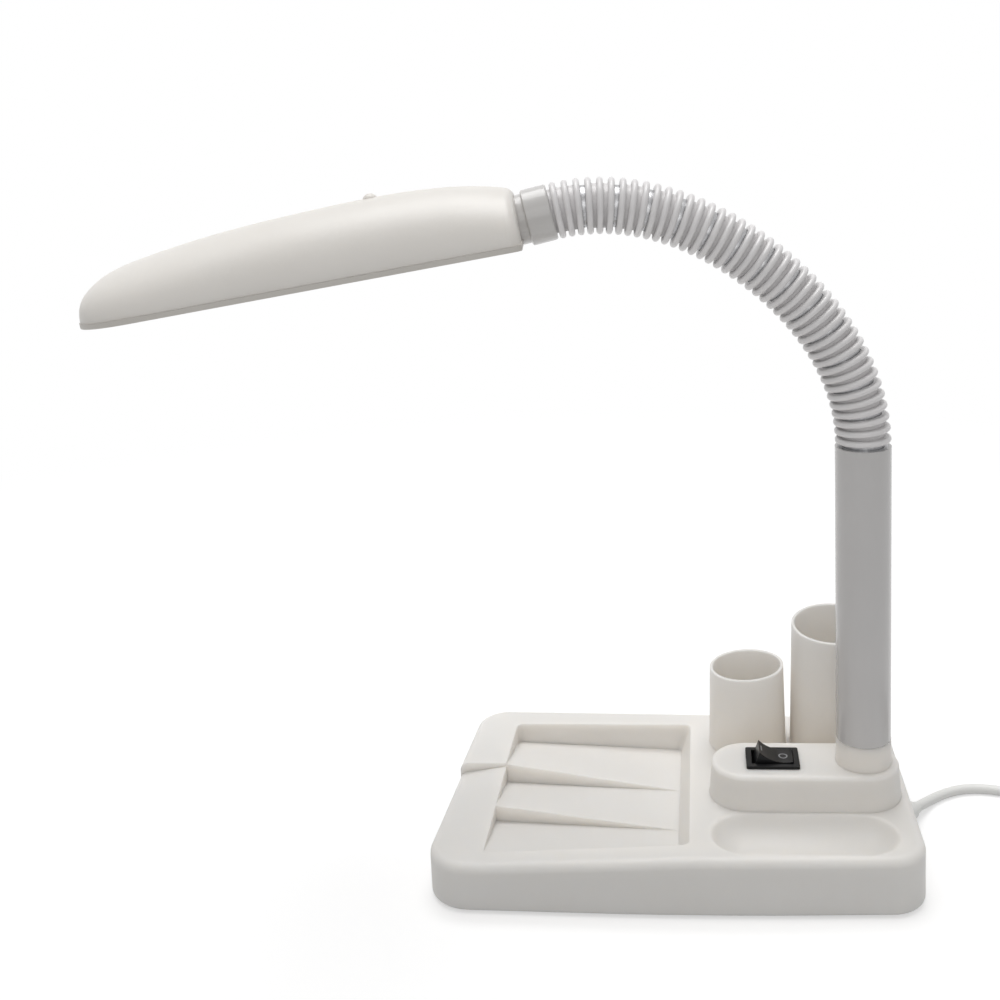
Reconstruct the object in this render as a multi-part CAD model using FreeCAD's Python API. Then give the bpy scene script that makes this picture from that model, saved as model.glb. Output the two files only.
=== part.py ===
import FreeCAD, Part
import math
import os

# Desk lamp with a pen-tray base, a gooseneck and a long LED head.  Millimetres, +Z up.
# The model is drawn with the column's axis at X = Y = 0 and the table at Z = 0.  At the end
# every piece is moved so that the lamp's box, without the cord, is centred over the origin.

Vec = FreeCAD.Vector
UP = Vec(0, 0, 1)

# ---- clearances and walls ----------------------------------------------------------------
RUNNING_GAP = 0.08        # radial gap of a pin in its hole
SOCKET_GAP = 0.15         # gap between a neck ball and its socket
PART_GAP = 0.3            # gap between neighbouring loose pieces
OVERRUN = 5.0             # how far a cutting tool passes the face that it cuts
TOUCHING = 0.02           # points nearer than this are taken as one
JOIN = 1.0                # how deep a piece is sunk into the stock that it grows from
ARC_SHARE = 0.45          # share of a run that the arc at each of its ends may take
SIDE_WALL = 2.2           # side walls of the base
TOP_WALL = 2.4            # top walls of the base, tray and dish

# ---- base --------------------------------------------------------------------------------
FOOT_HEIGHT = 1.0
FOOT_RADIUS = 6.0
BASE_TOP = 23.0
BASE_EDGE_ROUND = 3.2     # top outer edge
BASE_FOOT_ROUND = 1.2     # bottom outer edge
BASE_LEFT_BACK = (-165.2, 68.5, 13.0)      # plan corners: x, y, corner radius
BASE_RIGHT_BACK = (17.4, 63.8, 13.0)
BASE_RIGHT_FRONT = (18.9, -44.8, 14.0)
BASE_FRONT_MIDDLE = (-66.0, -47.8, 1500.0)
BASE_LEFT_FRONT = (-169.6, -45.5, 17.0)
COVER_THICKNESS = 2.0

# ---- pen tray: three slanting strips side by side ----------------------------------------
TRAY_LEFT = -147.2
TRAY_FOOT_RIGHT = -73.7
TRAY_TOP_RIGHT = -69.3
TRAY_BACK = 54.5
TRAY_FRONT = -36.7
TRAY_FLOOR = 11.0
TRAY_CORNER = 2.5         # plan radius of the tray's corners
STRIP_STARTS = (54.5, 20.5, -8.5)          # back edge of each strip
STRIP_BACK_HEIGHT = 14.5                   # floor height at each strip's back left corner
STRIP_FRONT_HEIGHTS = (22.6, 21.0, 19.0)   # floor height at each strip's front left corner

# ---- lowered rim beside the tray ---------------------------------------------------------
RIM_STEP_Y = 20.5
RIM_STEP_INNER = 21.8     # rim height at the step, at the tray
RIM_STEP_OUTER = 18.7     # rim height at the step, at the outer edge
RIM_LOW = 19.0            # rim height at the front left corner

# ---- oval dish ---------------------------------------------------------------------------
DISH_LEFT = -61.2
DISH_RIGHT = 9.6
DISH_Y = -28.9
DISH_HALF_WIDTH = 12.9
DISH_DEPTH = 7.5
DISH_RIM_ROUND = 1.5

# ---- raised block and boss ---------------------------------------------------------------
BLOCK_LENGTH = 46.5       # distance between the centres of its two round ends
BLOCK_FOOT_RADIUS = 14.8
BLOCK_TOP_RADIUS = 13.8
BLOCK_TOP = 37.0
BLOCK_EDGE_ROUND = 1.8
BOSS_FOOT_RADIUS = 11.0
BOSS_TOP_RADIUS = 10.8
BOSS_TOP = 47.3
SPIGOT_HEIGHT = 4.0

# ---- cups --------------------------------------------------------------------------------
CUP_WALL = 1.3
CUP_FLOOR = 9.0
CUP_RIM_ROUND = 0.4
CUP_BOTTOM_ROUND = 2.0    # inside, at the floor
CUP_NARROWING = 1.4       # how much narrower the inside is at its floor than the wall needs
SHORT_CUP = {"x": -44.5, "y": 41.0, "foot": 16.5, "rim": 15.8, "top": 57.8, "slant": 0.0, "lean": 3.0}
TALL_CUP = {"x": -7.2, "y": 41.0, "foot": 19.0, "rim": 17.85, "top": 76.6, "slant": 5.3, "lean": 0.0}

# ---- screws and ballast ------------------------------------------------------------------
POST_RADIUS = 3.5
SCREW_RADIUS = 1.5
SCREW_HEAD_RADIUS = 2.8
SCREW_HEAD_HEIGHT = 1.2
SCREW_LENGTH = 12.0
POST_PLACES = ((-155.5, 60.5), (-157.0, -35.0), (-65.3, 59.5), (-65.3, -38.0), (9.0, 55.5), (9.5, -34.8))
FOOT_PLACES = ((-152.0, 48.0), (-152.0, -28.0), (3.0, 48.0), (3.0, -28.0))
BALLAST_THICKNESS = 4.0
BALLAST_MARGIN = 4.0      # from the tray's walls
STAKE_RADIUS = 2.0
STAKE_MARGIN = 9.0        # from the ballast's edges

# ---- column ------------------------------------------------------------------------------
COLUMN_RADIUS = 10.75
COLUMN_WALL = 1.25
COLUMN_TOP = 165.6
ROD_RADIUS = 5.0
ROD_BORE = 3.2
ROD_TAIL = 3.0            # rod below the nut
NUT_FLATS = 17.0
NUT_HEIGHT = 5.0
WASHER_RADIUS = 10.0
WASHER_HEIGHT = 1.5
ANCHOR_HEIGHT = 15.6
ANCHOR_THREAD = 7.5       # depth of the rod's thread in the anchor

# ---- switch ------------------------------------------------------------------------------
SWITCH_X = -36.1
SWITCH_Y = -0.5
BEZEL = (21.0, 15.0, 1.2)
BEZEL_CORNER = 0.8
SWITCH_BODY = (19.0, 12.9, 16.0)
ROCKER_WELL = (16.6, 10.6, 7.5)
ROCKER_HALF_LENGTH = 6.9
ROCKER_FOOT = 7.4         # half length at the bottom
ROCKER_END_RISE = 5.0     # top ends above the pivot
ROCKER_DIP = 3.2          # middle of the hollow top above the pivot
ROCKER_DROP = 3.0         # bottom below the pivot
ROCKER_PIVOT_DEPTH = 2.2  # pivot below the bezel's top
ROCKER_PIN_RADIUS = 1.0
ROCKER_PIN_REACH = 0.9    # pin beyond the rocker's side
ROCKER_TILT = 16.0        # degrees from the middle to either position
TAB = (4.8, 0.8, 7.0)
TAB_SPACING = 7.0

# ---- gooseneck ---------------------------------------------------------------------------
NECK_BEND = math.radians(102.5)       # total bend at rest
NECK_BEND_VARIATION = 0.27            # the bend is that share stronger at both ends
NECK_YAW = math.radians(7.0)          # total sideways bend at rest
SECTION_COUNT = 14
RIBS_PER_SECTION = 3
RIB_PITCH = 3.95
RIB_WIDTH = 2.4
RIB_RADIUS = 10.7
GROOVE_RADIUS = 8.3
BALL_RADIUS = 7.9
BALL_HALF_LENGTH = 4.2
NECK_BORE = 3.2
NECK_TAIL = 1.0                       # plain length after the last rib
BALL_CHORDS = 400                     # steps of the sum that gives a point on the neck's curve

# ---- collar, stub and head ---------------------------------------------------------------
COLLAR_RADIUS = 10.55
COLLAR_LENGTH = 9.7
COLLAR_CHAMFER = 0.5
STUB_RADIUS = 9.35
STUB_LENGTH = 2.6
STUB_HEIGHT = 8.9                     # stub's axis above the head's bottom plane
STEM_RADIUS = 6.0
STEM_LENGTH = 7.0
HEAD_DROOP = math.radians(8.6)
HEAD_LENGTH = 163.5
HEAD_HALF_WIDTH = 28.0
HEAD_WALL = 1.8
HEAD_LIP = 2.0                        # height of the frame's lip
LIP_PROUD = 0.4                       # lip outside the casing
LIP_ROUND = 0.3
LIP_BAND = 1.5                        # the lip's own edges lie within that distance of the outline
HEAD_ROOT_CORNER = 2.5
HEAD_ROOT_ROUND = 4.0                 # casing's top edge at the root
HEAD_TIP_CORNER = 24.0
HEAD_TIP_MIDDLE = 50.0                # radius of the tip's bow
DOME_POINTS = 12                      # points round each section of the dome
DOME_DEGREE = 3                       # smoothness of the dome along the head
HEAD_TIP_BOW = 4.0                    # how much the tip's middle stands past its corners
HEAD_CREST = ((0.0, 20.6), (0.037, 22.4), (0.135, 25.4), (0.294, 26.9), (0.489, 26.1), (0.673, 24.1),
              (0.832, 20.7), (0.905, 18.2), (0.944, 15.6), (0.970, 12.9), (0.987, 9.8))
# HEAD_CREST holds pairs: share of the head's length, height
WINDOW_MARGIN = 8.0                   # from the head's outline to the window
SEAT_MARGIN = 6.6                     # from the head's outline to the diffuser's seat
LEDGE = 0.8
DIFFUSER_THICKNESS = 1.2
REFLECTOR_HEIGHT = 8.0
REFLECTOR_MARGIN = 12.0               # from the head's outline to the reflector
REFLECTOR_WALL = 0.8
BOARD = (126.0, 20.0, 1.2)
LED = (3.0, 3.0, 0.8)
LED_COLUMNS = 14
LED_ROWS = 2
HEAD_POST_RADIUS = 2.6
HEAD_SCREW_RADIUS = 1.1
HEAD_SCREW_HEAD = 2.0
HEAD_SCREW_LENGTH = 7.0
HEAD_SCREW_SUNK = 0.2                 # screw head's face above the frame's face
HEAD_SCREW_MARGIN = 3.9               # from the head's outline to the screw
CAP_ALONG = 52.6                      # screw cap's place along the head
CAP_RADIUS = 2.65
CAP_DOME = 1.8
CAP_SEAT = 2.0
CAP_SCREW_HEAD = 0.8                  # height of the head of the screw under the cap
TONGUE = (20.0, 2.0)                  # bracket tongue: width, thickness
TONGUE_HEIGHT = 16.5
TONGUE_PAST_CAP = 6.0
BRACKET_PLATE = (34.0, 3.0)           # bracket plate at the root wall: width, thickness

# ---- leads and cord ----------------------------------------------------------------------
LEAD_RADIUS = 0.7
LEAD_SPREAD = 1.2         # half the distance between two leads
LEAD_RISE = 3.0           # height of the leads over the reflector
LEAD_MARGIN = 2.5         # from the board's end to its leads
LEAD_PITCH = 0.84         # half the distance between the cord's two wires
LIVE_RISE = 2.0            # heights of the leads above their lowest run
SWITCHED_RISE = 5.0
SWITCHED_END = 8.0
RETURN_END = 10.0
LEAD_CLEARANCE = 2.4      # height of the lowest wire over the cover
LIVE_TURN = (-8.0, 6.0)               # plan points at which the wires under the base turn
SWITCHED_TURN = (-14.0, -5.5)
RETURN_TURN = (4.0, 1.2)
STEM_LEAD_RUN = 2.0       # head wires out of the stem: straight run, its rise, and where they come down
STEM_LEAD_RISE = 0.3
STEM_LEAD_FALL = 3.5
CORD_RADIUS = 2.0
GRIP_RADIUS = 3.6
GRIP_LENGTH = 13.0        # from the outside of the base's wall inwards
BOOT_LENGTH = 4.0         # tapered end outside the wall
BOOT_RADII = (3.0, 2.4)
CORD_EXIT_PLACE = (22.0, 17.2, 5.2)
CORD_EXIT = Vec(*CORD_EXIT_PLACE)
CORD_ROUTE = (CORD_EXIT, Vec(25.8, 21.8, 4.2), Vec(31.6, 29.9, 2.0), Vec(39.5, 35.9, 2.0), Vec(48.6, 39.5, 2.0),
              Vec(58.8, 39.2, 2.0), Vec(68.0, 36.2, 2.0), Vec(77.0, 34.6, 2.0))
COIL_PLACE = (100.0, 8.0, 0)
COIL_CENTRE = Vec(*COIL_PLACE)
COIL_STRANDS = 4                      # strands side by side
COIL_LAYERS = 2
COIL_OUTER_STRAND = 29.0              # radius of the outermost strand's centre
COIL_EDGE_ROUND = 1.4
TAIL_DIRECTION = Vec(0, -1, 0)        # the tail leaves the coil's right side towards the front
TAIL_LENGTH = 12.0
PLUG_BODY = (30.0, 15.6, 8.0)
PLUG_SHELL = (18.5, 12.0, 4.5)
PLUG_SHELL_WALL = 0.4
PLUG_SHELL_SEAT = 6.0     # depth of the shell in the plug's body
PLUG_ROUND = 2.0

RIB_GAP = RIB_PITCH - RIB_WIDTH
SECTION_PITCH = RIB_PITCH * RIBS_PER_SECTION
NECK_LENGTH = SECTION_PITCH * SECTION_COUNT + NECK_TAIL
COVER_TOP = FOOT_HEIGHT + COVER_THICKNESS
COLUMN_BORE = COLUMN_RADIUS - COLUMN_WALL


# ---- general shapes ----------------------------------------------------------------------

def cylinder(radius, low, high, x=0.0, y=0.0):
    """Upright cylinder between two heights."""
    return Part.makeCylinder(radius, high - low, Vec(x, y, low))


def cone(low_radius, high_radius, low, high, x=0.0, y=0.0):
    """Upright cone between two heights."""
    return Part.makeCone(low_radius, high_radius, high - low, Vec(x, y, low))


def tube(radius, bore, low, high, x=0.0, y=0.0):
    """Upright tube between two heights."""
    return cylinder(radius, low, high, x, y).cut(cylinder(bore, low, high, x, y))


def block(x0, x1, y0, y1, z0, z1):
    """Box between two corners."""
    return Part.makeBox(x1 - x0, y1 - y0, z1 - z0, Vec(x0, y0, z0))


def prism(points, travel):
    """Solid made by moving a closed polygon along a vector."""
    return Part.Face(Part.makePolygon(list(points) + [points[0]])).extrude(travel)


def fuse(shapes):
    """One clean solid from several that touch or overlap."""
    return shapes[0].multiFuse(shapes[1:]).removeSplitter()


def round_edges(shape, radius, wanted):
    """Round the edges whose middle point passes the wanted test."""
    edges = [e for e in shape.Edges if wanted(e, e.valueAt(0.5 * (e.FirstParameter + e.LastParameter)))]
    return shape.makeFillet(radius, edges)


def is_upright(edge):
    """Whether an edge's two ends lie one above the other."""
    rise = edge.Vertexes[-1].Point - edge.Vertexes[0].Point
    return math.hypot(rise.x, rise.y) < TOUCHING and abs(rise.z) > TOUCHING


def corner_arc(before, here, after, radius):
    """Arc of the given radius that rounds the corner at here."""
    back = (before - here).normalize()
    ahead = (after - here).normalize()
    half = 0.5 * back.getAngle(ahead)
    middle = (back + ahead).normalize()
    reach = radius / math.tan(half)
    nearest = here + middle * (radius / math.sin(half) - radius)
    return Part.Arc(here + back * reach, nearest, here + ahead * reach).toShape()


def outline(corners, z):
    """Closed wire through (x, y, radius) corners, with a tangent arc at each of them."""
    points = [Vec(x, y, z) for x, y, radius in corners]
    arcs = []
    for i, (x, y, radius) in enumerate(corners):
        arcs.append(corner_arc(points[i - 1], points[i], points[(i + 1) % len(points)], radius))
    edges = []
    for i, arc in enumerate(arcs):
        edges.append(Part.LineSegment(arcs[i - 1].Vertexes[-1].Point, arc.Vertexes[0].Point).toShape())
        edges.append(arc)
    return Part.Wire(edges)


def inset(corners, distance):
    """The same corners moved inwards by a distance, with their radii made smaller to match."""
    moved = []
    for i, (x, y, radius) in enumerate(corners):
        here = Vec(x, y, 0)
        back = (Vec(*corners[i - 1][:2], 0) - here).normalize()
        ahead = (Vec(*corners[(i + 1) % len(corners)][:2], 0) - here).normalize()
        half = 0.5 * back.getAngle(ahead)
        place = here + (back + ahead).normalize() * (distance / math.sin(half))
        moved.append((place.x, place.y, max(radius - distance, 0.5)))
    return moved


def plate(corners, low, high):
    """Flat solid with the given outline between two heights."""
    return Part.Face(outline(corners, low)).extrude(Vec(0, 0, high - low))


def stand(shape, point, direction):
    """The shape moved so that its own origin and Z axis lie on a point and a direction."""
    moved = shape.copy()
    moved.Placement = FreeCAD.Placement(point, FreeCAD.Rotation(UP, direction))
    return moved


def rounded_path(points):
    """Wire of straight runs joined by arcs as large as the runs allow."""
    arcs = []
    for before, here, after in zip(points, points[1:], points[2:]):
        back = before - here
        ahead = after - here
        half_turn = 0.5 * (math.pi - back.getAngle(ahead))
        radius = ARC_SHARE * min(back.Length, ahead.Length) / math.tan(half_turn)
        arcs.append(corner_arc(before, here, after, radius))
    edges = []
    start = points[0]
    for arc in arcs:
        edges.append(Part.LineSegment(start, arc.Vertexes[0].Point).toShape())
        edges.append(arc)
        start = arc.Vertexes[-1].Point
    edges.append(Part.LineSegment(start, points[-1]).toShape())
    return Part.Wire(edges)


def round_bar(points, radius):
    """Round bar along a rounded path."""
    profile = Part.Wire(Part.makeCircle(radius, points[0], points[1] - points[0]))
    return rounded_path(points).makePipeShell([profile], True, True)


# ---- base shell --------------------------------------------------------------------------

def base_corners():
    return [BASE_LEFT_BACK, BASE_LEFT_FRONT, BASE_FRONT_MIDDLE, BASE_RIGHT_FRONT, BASE_RIGHT_BACK]


def rim_cutter():
    """Space above the lowered rim: left side, front left corner and the rising front."""
    high = BASE_TOP + OVERRUN
    far_left = BASE_LEFT_FRONT[0] - OVERRUN
    far_front = BASE_FRONT_MIDDLE[1] - OVERRUN
    slope = (RIM_STEP_INNER - RIM_STEP_OUTER) / (TRAY_LEFT - BASE_LEFT_BACK[0])
    far_height = RIM_STEP_INNER - slope * (TRAY_LEFT - far_left)
    back_end = [Vec(TRAY_LEFT, RIM_STEP_Y, RIM_STEP_INNER), Vec(far_left, RIM_STEP_Y, far_height),
                Vec(far_left, RIM_STEP_Y, high), Vec(TRAY_LEFT, RIM_STEP_Y, high)]
    front_end = [Vec(TRAY_LEFT, TRAY_FRONT, RIM_LOW), Vec(far_left, TRAY_FRONT, RIM_LOW),
                 Vec(far_left, TRAY_FRONT, high), Vec(TRAY_LEFT, TRAY_FRONT, high)]
    side = loft_between(back_end, front_end)
    corner = block(far_left, TRAY_LEFT, far_front, TRAY_FRONT, RIM_LOW, high)
    ramp = prism([Vec(TRAY_LEFT, far_front, RIM_LOW), Vec(TRAY_TOP_RIGHT, far_front, BASE_TOP),
                  Vec(TRAY_TOP_RIGHT, far_front, high), Vec(TRAY_LEFT, far_front, high)],
                 Vec(0, TRAY_FRONT - far_front, 0))
    return side.multiFuse([corner, ramp])


def loft_between(first, second):
    """Solid with straight rulings between two polygons of as many corners."""
    wires = [Part.makePolygon(points + [points[0]]) for points in (first, second)]
    return Part.makeLoft(wires, True, True)


def strip_cutter(index, grow):
    """Space above one slanting strip of the tray, made larger all round by grow."""
    high = BASE_TOP + OVERRUN
    back = STRIP_STARTS[index] + grow
    ends = STRIP_STARTS[1:] + (TRAY_FRONT,)
    front = ends[index] - grow
    lean = (TRAY_TOP_RIGHT - TRAY_FOOT_RIGHT) / (BASE_TOP - TRAY_FLOOR)
    foot = TRAY_FLOOR - grow
    foot_x = TRAY_FOOT_RIGHT + grow
    head_x = foot_x + lean * (high - foot)
    left_x = TRAY_LEFT - grow
    left_back = STRIP_BACK_HEIGHT - grow
    left_front = STRIP_FRONT_HEIGHTS[index] - grow
    left = [Vec(left_x, back, left_back), Vec(left_x, front, left_front),
            Vec(left_x, front, high), Vec(left_x, back, high)]
    right = [Vec(foot_x, back, foot), Vec(foot_x, front, foot),
             Vec(head_x, front, high), Vec(head_x, back, high)]
    return loft_between(left, right)


def tray_cutter(grow):
    strips = [strip_cutter(i, grow) for i in range(len(STRIP_STARTS))]
    return strips[0].multiFuse(strips[1:])


def dish_cutter(grow):
    """Bowl with round ends: a round bar laid on its side, with a ball at each end."""
    radius = (DISH_HALF_WIDTH ** 2 + DISH_DEPTH ** 2) / (2.0 * DISH_DEPTH)
    z = BASE_TOP + radius - DISH_DEPTH
    left = Vec(DISH_LEFT + DISH_HALF_WIDTH, DISH_Y, z)
    right = Vec(DISH_RIGHT - DISH_HALF_WIDTH, DISH_Y, z)
    size = radius + grow
    bar = Part.makeCylinder(size, right.x - left.x, left, Vec(1, 0, 0))
    return fuse([bar, Part.makeSphere(size, left), Part.makeSphere(size, right)])


def round_ended(low_radius, high_radius, low, high):
    """Drafted solid with two round ends, one of them round the column's axis."""
    left = cone(low_radius, high_radius, low, high, -BLOCK_LENGTH)
    right = cone(low_radius, high_radius, low, high)
    middle = prism([Vec(-BLOCK_LENGTH, -low_radius, low), Vec(-BLOCK_LENGTH, low_radius, low),
                    Vec(-BLOCK_LENGTH, high_radius, high), Vec(-BLOCK_LENGTH, -high_radius, high)],
                   Vec(BLOCK_LENGTH, 0, 0))
    return fuse([left, middle, right])


def raised_block():
    """Block under the column, with its boss and the spigot that centres the column's tube."""
    solid = round_ended(BLOCK_FOOT_RADIUS, BLOCK_TOP_RADIUS, BASE_TOP, BLOCK_TOP)
    solid = round_edges(solid, BLOCK_EDGE_ROUND, lambda e, p: p.z > BLOCK_TOP - TOUCHING)
    boss = cone(BOSS_FOOT_RADIUS, BOSS_TOP_RADIUS, BLOCK_TOP - JOIN, BOSS_TOP)
    spigot = cylinder(COLUMN_BORE - RUNNING_GAP, BOSS_TOP - JOIN, BOSS_TOP + SPIGOT_HEIGHT)
    return fuse([solid, boss, spigot])


def cup_slice(cup):
    """Everything above a cup's slanting rim plane."""
    size = 4.0 * cup["foot"]
    above = Part.makeBox(size, size, size, Vec(-0.5 * size, -0.5 * size, 0))
    tilt = FreeCAD.Rotation(Vec(1, 0, 0), cup["slant"]).multiply(FreeCAD.Rotation(Vec(0, 1, 0), -cup["lean"]))
    above.Placement = FreeCAD.Placement(Vec(cup["x"], cup["y"], cup["top"]), tilt)
    return above


def cup_outside(cup, low):
    """Outer cone of a cup from a height up to its rim."""
    draft = (cup["foot"] - cup["rim"]) / (cup["top"] - BASE_TOP)
    high = cup["top"] + OVERRUN
    low_radius = cup["foot"] + draft * (BASE_TOP - low)
    high_radius = cup["rim"] - draft * OVERRUN
    return cone(low_radius, high_radius, low, high, cup["x"], cup["y"]).cut(cup_slice(cup))


def cup_inside(cup):
    """Space inside a cup, open at the top."""
    low_radius = min(cup["foot"], cup["rim"]) - CUP_WALL - CUP_NARROWING
    draft = (cup["rim"] - CUP_WALL - low_radius) / (cup["top"] - CUP_FLOOR)
    high_radius = cup["rim"] - CUP_WALL + draft * OVERRUN
    solid = cone(low_radius, high_radius, CUP_FLOOR, cup["top"] + OVERRUN, cup["x"], cup["y"])
    return round_edges(solid, CUP_BOTTOM_ROUND, lambda e, p: p.z < CUP_FLOOR + TOUCHING)


def base_stock():
    """Plate of the base with its lowered rim and its rounded edges."""
    solid = plate(base_corners(), FOOT_HEIGHT, BASE_TOP).cut(rim_cutter())
    wall_line = outline(base_corners(), 0.0)
    low = 0.5 * (FOOT_HEIGHT + BASE_TOP)

    def on_top_edge(edge, middle):
        foot = Part.Vertex(Vec(middle.x, middle.y, 0))
        return middle.z > low and not is_upright(edge) and foot.distToShape(wall_line)[0] < TOUCHING

    solid = round_edges(solid, BASE_EDGE_ROUND, on_top_edge)
    return round_edges(solid, BASE_FOOT_ROUND, lambda e, p: p.z < FOOT_HEIGHT + TOUCHING)


def in_dish(edge, middle):
    """Whether an edge is on the dish's rim."""
    across = abs(middle.y - DISH_Y) < DISH_HALF_WIDTH + TOUCHING
    along = DISH_LEFT - TOUCHING < middle.x < DISH_RIGHT + TOUCHING
    return across and along and abs(middle.z - BASE_TOP) < TOUCHING


def in_tray_corner(edge, middle):
    """Whether an edge stands in one of the tray's corners, on the left upright or on the right leaning."""
    at_end = min(abs(middle.y - TRAY_BACK), abs(middle.y - TRAY_FRONT)) < TOUCHING
    at_left = abs(middle.x - TRAY_LEFT) < TOUCHING and is_upright(edge)
    at_right = abs(middle.x - 0.5 * (TRAY_FOOT_RIGHT + TRAY_TOP_RIGHT)) < TOUCHING
    return at_end and (at_left or at_right)


def base_outside():
    """Everything of the base shell, not yet hollow underneath."""
    solid = base_stock().cut(tray_cutter(0.0)).cut(dish_cutter(0.0))
    solid = round_edges(solid, DISH_RIM_ROUND, in_dish)
    solid = round_edges(solid, TRAY_CORNER, in_tray_corner)
    for cup in (SHORT_CUP, TALL_CUP):
        solid = solid.fuse(cup_outside(cup, BASE_TOP - JOIN))
    return solid.fuse(raised_block()).removeSplitter()


def base_keepers():
    """Solid stock under the tray, dish, cups and screws that the hollow has to leave."""
    keep = [tray_cutter(TOP_WALL), dish_cutter(TOP_WALL), rim_cutter().translate(Vec(0, TOP_WALL, -TOP_WALL))]
    for cup in (SHORT_CUP, TALL_CUP):
        keep.append(cup_outside(cup, CUP_FLOOR - TOP_WALL))
    for x, y in POST_PLACES:
        keep.append(cylinder(POST_RADIUS, COVER_TOP, BASE_TOP, x, y))
    return keep


def base_hollow():
    """Space under the base shell."""
    space = plate(inset(base_corners(), SIDE_WALL), 0.0, BASE_TOP - TOP_WALL)
    in_block = round_ended(BLOCK_FOOT_RADIUS - TOP_WALL, BLOCK_TOP_RADIUS - TOP_WALL,
                           BASE_TOP - TOP_WALL - JOIN, BLOCK_TOP - TOP_WALL)
    for keeper in base_keepers():
        space = space.cut(keeper)
    return space.fuse(in_block)


def grip_line():
    """Direction in which the cord leaves the base."""
    return (CORD_ROUTE[1] - CORD_ROUTE[0]).normalize()


def make_base_shell():
    solid = base_outside().cut(base_hollow())
    for cup in (SHORT_CUP, TALL_CUP):
        solid = solid.cut(cup_inside(cup))
    solid = solid.cut(cylinder(ROD_RADIUS + 2.0 * RUNNING_GAP, BASE_TOP, BOSS_TOP + OVERRUN))
    solid = solid.cut(switch_hole())
    for x, y in POST_PLACES:
        solid = solid.cut(cylinder(SCREW_RADIUS, COVER_TOP, FOOT_HEIGHT + SCREW_LENGTH, x, y))
    solid = round_edges(solid, CUP_RIM_ROUND, on_cup_rim)
    grip_hole = Part.makeCylinder(GRIP_RADIUS, 2.0 * GRIP_LENGTH, Vec(0, 0, -GRIP_LENGTH))
    return solid.cut(stand(grip_hole, CORD_EXIT, grip_line()))


def on_cup_rim(edge, middle):
    """Whether an edge is one of the two round edges of a cup's rim."""
    for cup in (SHORT_CUP, TALL_CUP):
        near = math.hypot(middle.x - cup["x"], middle.y - cup["y"]) < cup["foot"]
        slant, lean = (math.tan(math.radians(cup[key])) for key in ("slant", "lean"))
        rise = middle.z - cup["top"] - (middle.y - cup["y"]) * slant - (middle.x - cup["x"]) * lean
        if near and abs(rise) < TOUCHING:
            return True
    return False


def switch_hole():
    return switch_block(SWITCH_BODY[0], SWITCH_BODY[1], BLOCK_TOP - SWITCH_BODY[2], BLOCK_TOP + OVERRUN)


# ---- under the base ----------------------------------------------------------------------

def make_base_cover():
    """Flat plate inside the skirt, with counterbored screw holes and four stakes for the ballast."""
    solid = plate(inset(base_corners(), SIDE_WALL + PART_GAP), FOOT_HEIGHT, COVER_TOP)
    stake_top = COVER_TOP + BALLAST_THICKNESS
    stakes = [cylinder(STAKE_RADIUS, COVER_TOP - JOIN, stake_top, x, y) for x, y in stake_places()]
    solid = fuse([solid] + stakes)
    counterbore = FOOT_HEIGHT + SCREW_HEAD_HEIGHT
    for x, y in POST_PLACES:
        solid = solid.cut(cylinder(SCREW_RADIUS + PART_GAP, FOOT_HEIGHT, COVER_TOP, x, y))
        solid = solid.cut(cylinder(SCREW_HEAD_RADIUS + PART_GAP, FOOT_HEIGHT, counterbore, x, y))
    return solid


def ballast_box():
    """Left, right, front and back of the ballast plate, under the tray."""
    inner = TOP_WALL + BALLAST_MARGIN
    return TRAY_LEFT + inner, TRAY_FOOT_RIGHT - inner, TRAY_FRONT + inner, TRAY_BACK - inner


def stake_places():
    left, right, front, back = ballast_box()
    return [(x, y) for x in (left + STAKE_MARGIN, right - STAKE_MARGIN)
            for y in (front + STAKE_MARGIN, back - STAKE_MARGIN)]


def make_ballast_plate():
    left, right, front, back = ballast_box()
    solid = block(left, right, front, back, COVER_TOP, COVER_TOP + BALLAST_THICKNESS)
    for x, y in stake_places():
        solid = solid.cut(cylinder(STAKE_RADIUS, COVER_TOP, COVER_TOP + BALLAST_THICKNESS, x, y))
    return solid


def make_base_screws():
    screws = []
    for x, y in POST_PLACES:
        head = cylinder(SCREW_HEAD_RADIUS, FOOT_HEIGHT, FOOT_HEIGHT + SCREW_HEAD_HEIGHT, x, y)
        shank = cylinder(SCREW_RADIUS, FOOT_HEIGHT, FOOT_HEIGHT + SCREW_LENGTH, x, y)
        screws.append(fuse([head, shank]))
    return Part.makeCompound(screws)


def make_foot(index):
    x, y = FOOT_PLACES[index]
    foot = cylinder(FOOT_RADIUS, 0.0, FOOT_HEIGHT, x, y)
    return round_edges(foot, 0.25 * FOOT_HEIGHT, lambda e, p: p.z < TOUCHING)


# ---- switch ------------------------------------------------------------------------------

def rocker_pivot():
    return Vec(SWITCH_X, SWITCH_Y, BLOCK_TOP + BEZEL[2] - ROCKER_PIVOT_DEPTH)


def switch_block(length, width, low, high):
    """Box centred on the switch between two heights."""
    return block(SWITCH_X - length / 2, SWITCH_X + length / 2,
                 SWITCH_Y - width / 2, SWITCH_Y + width / 2, low, high)


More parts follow.
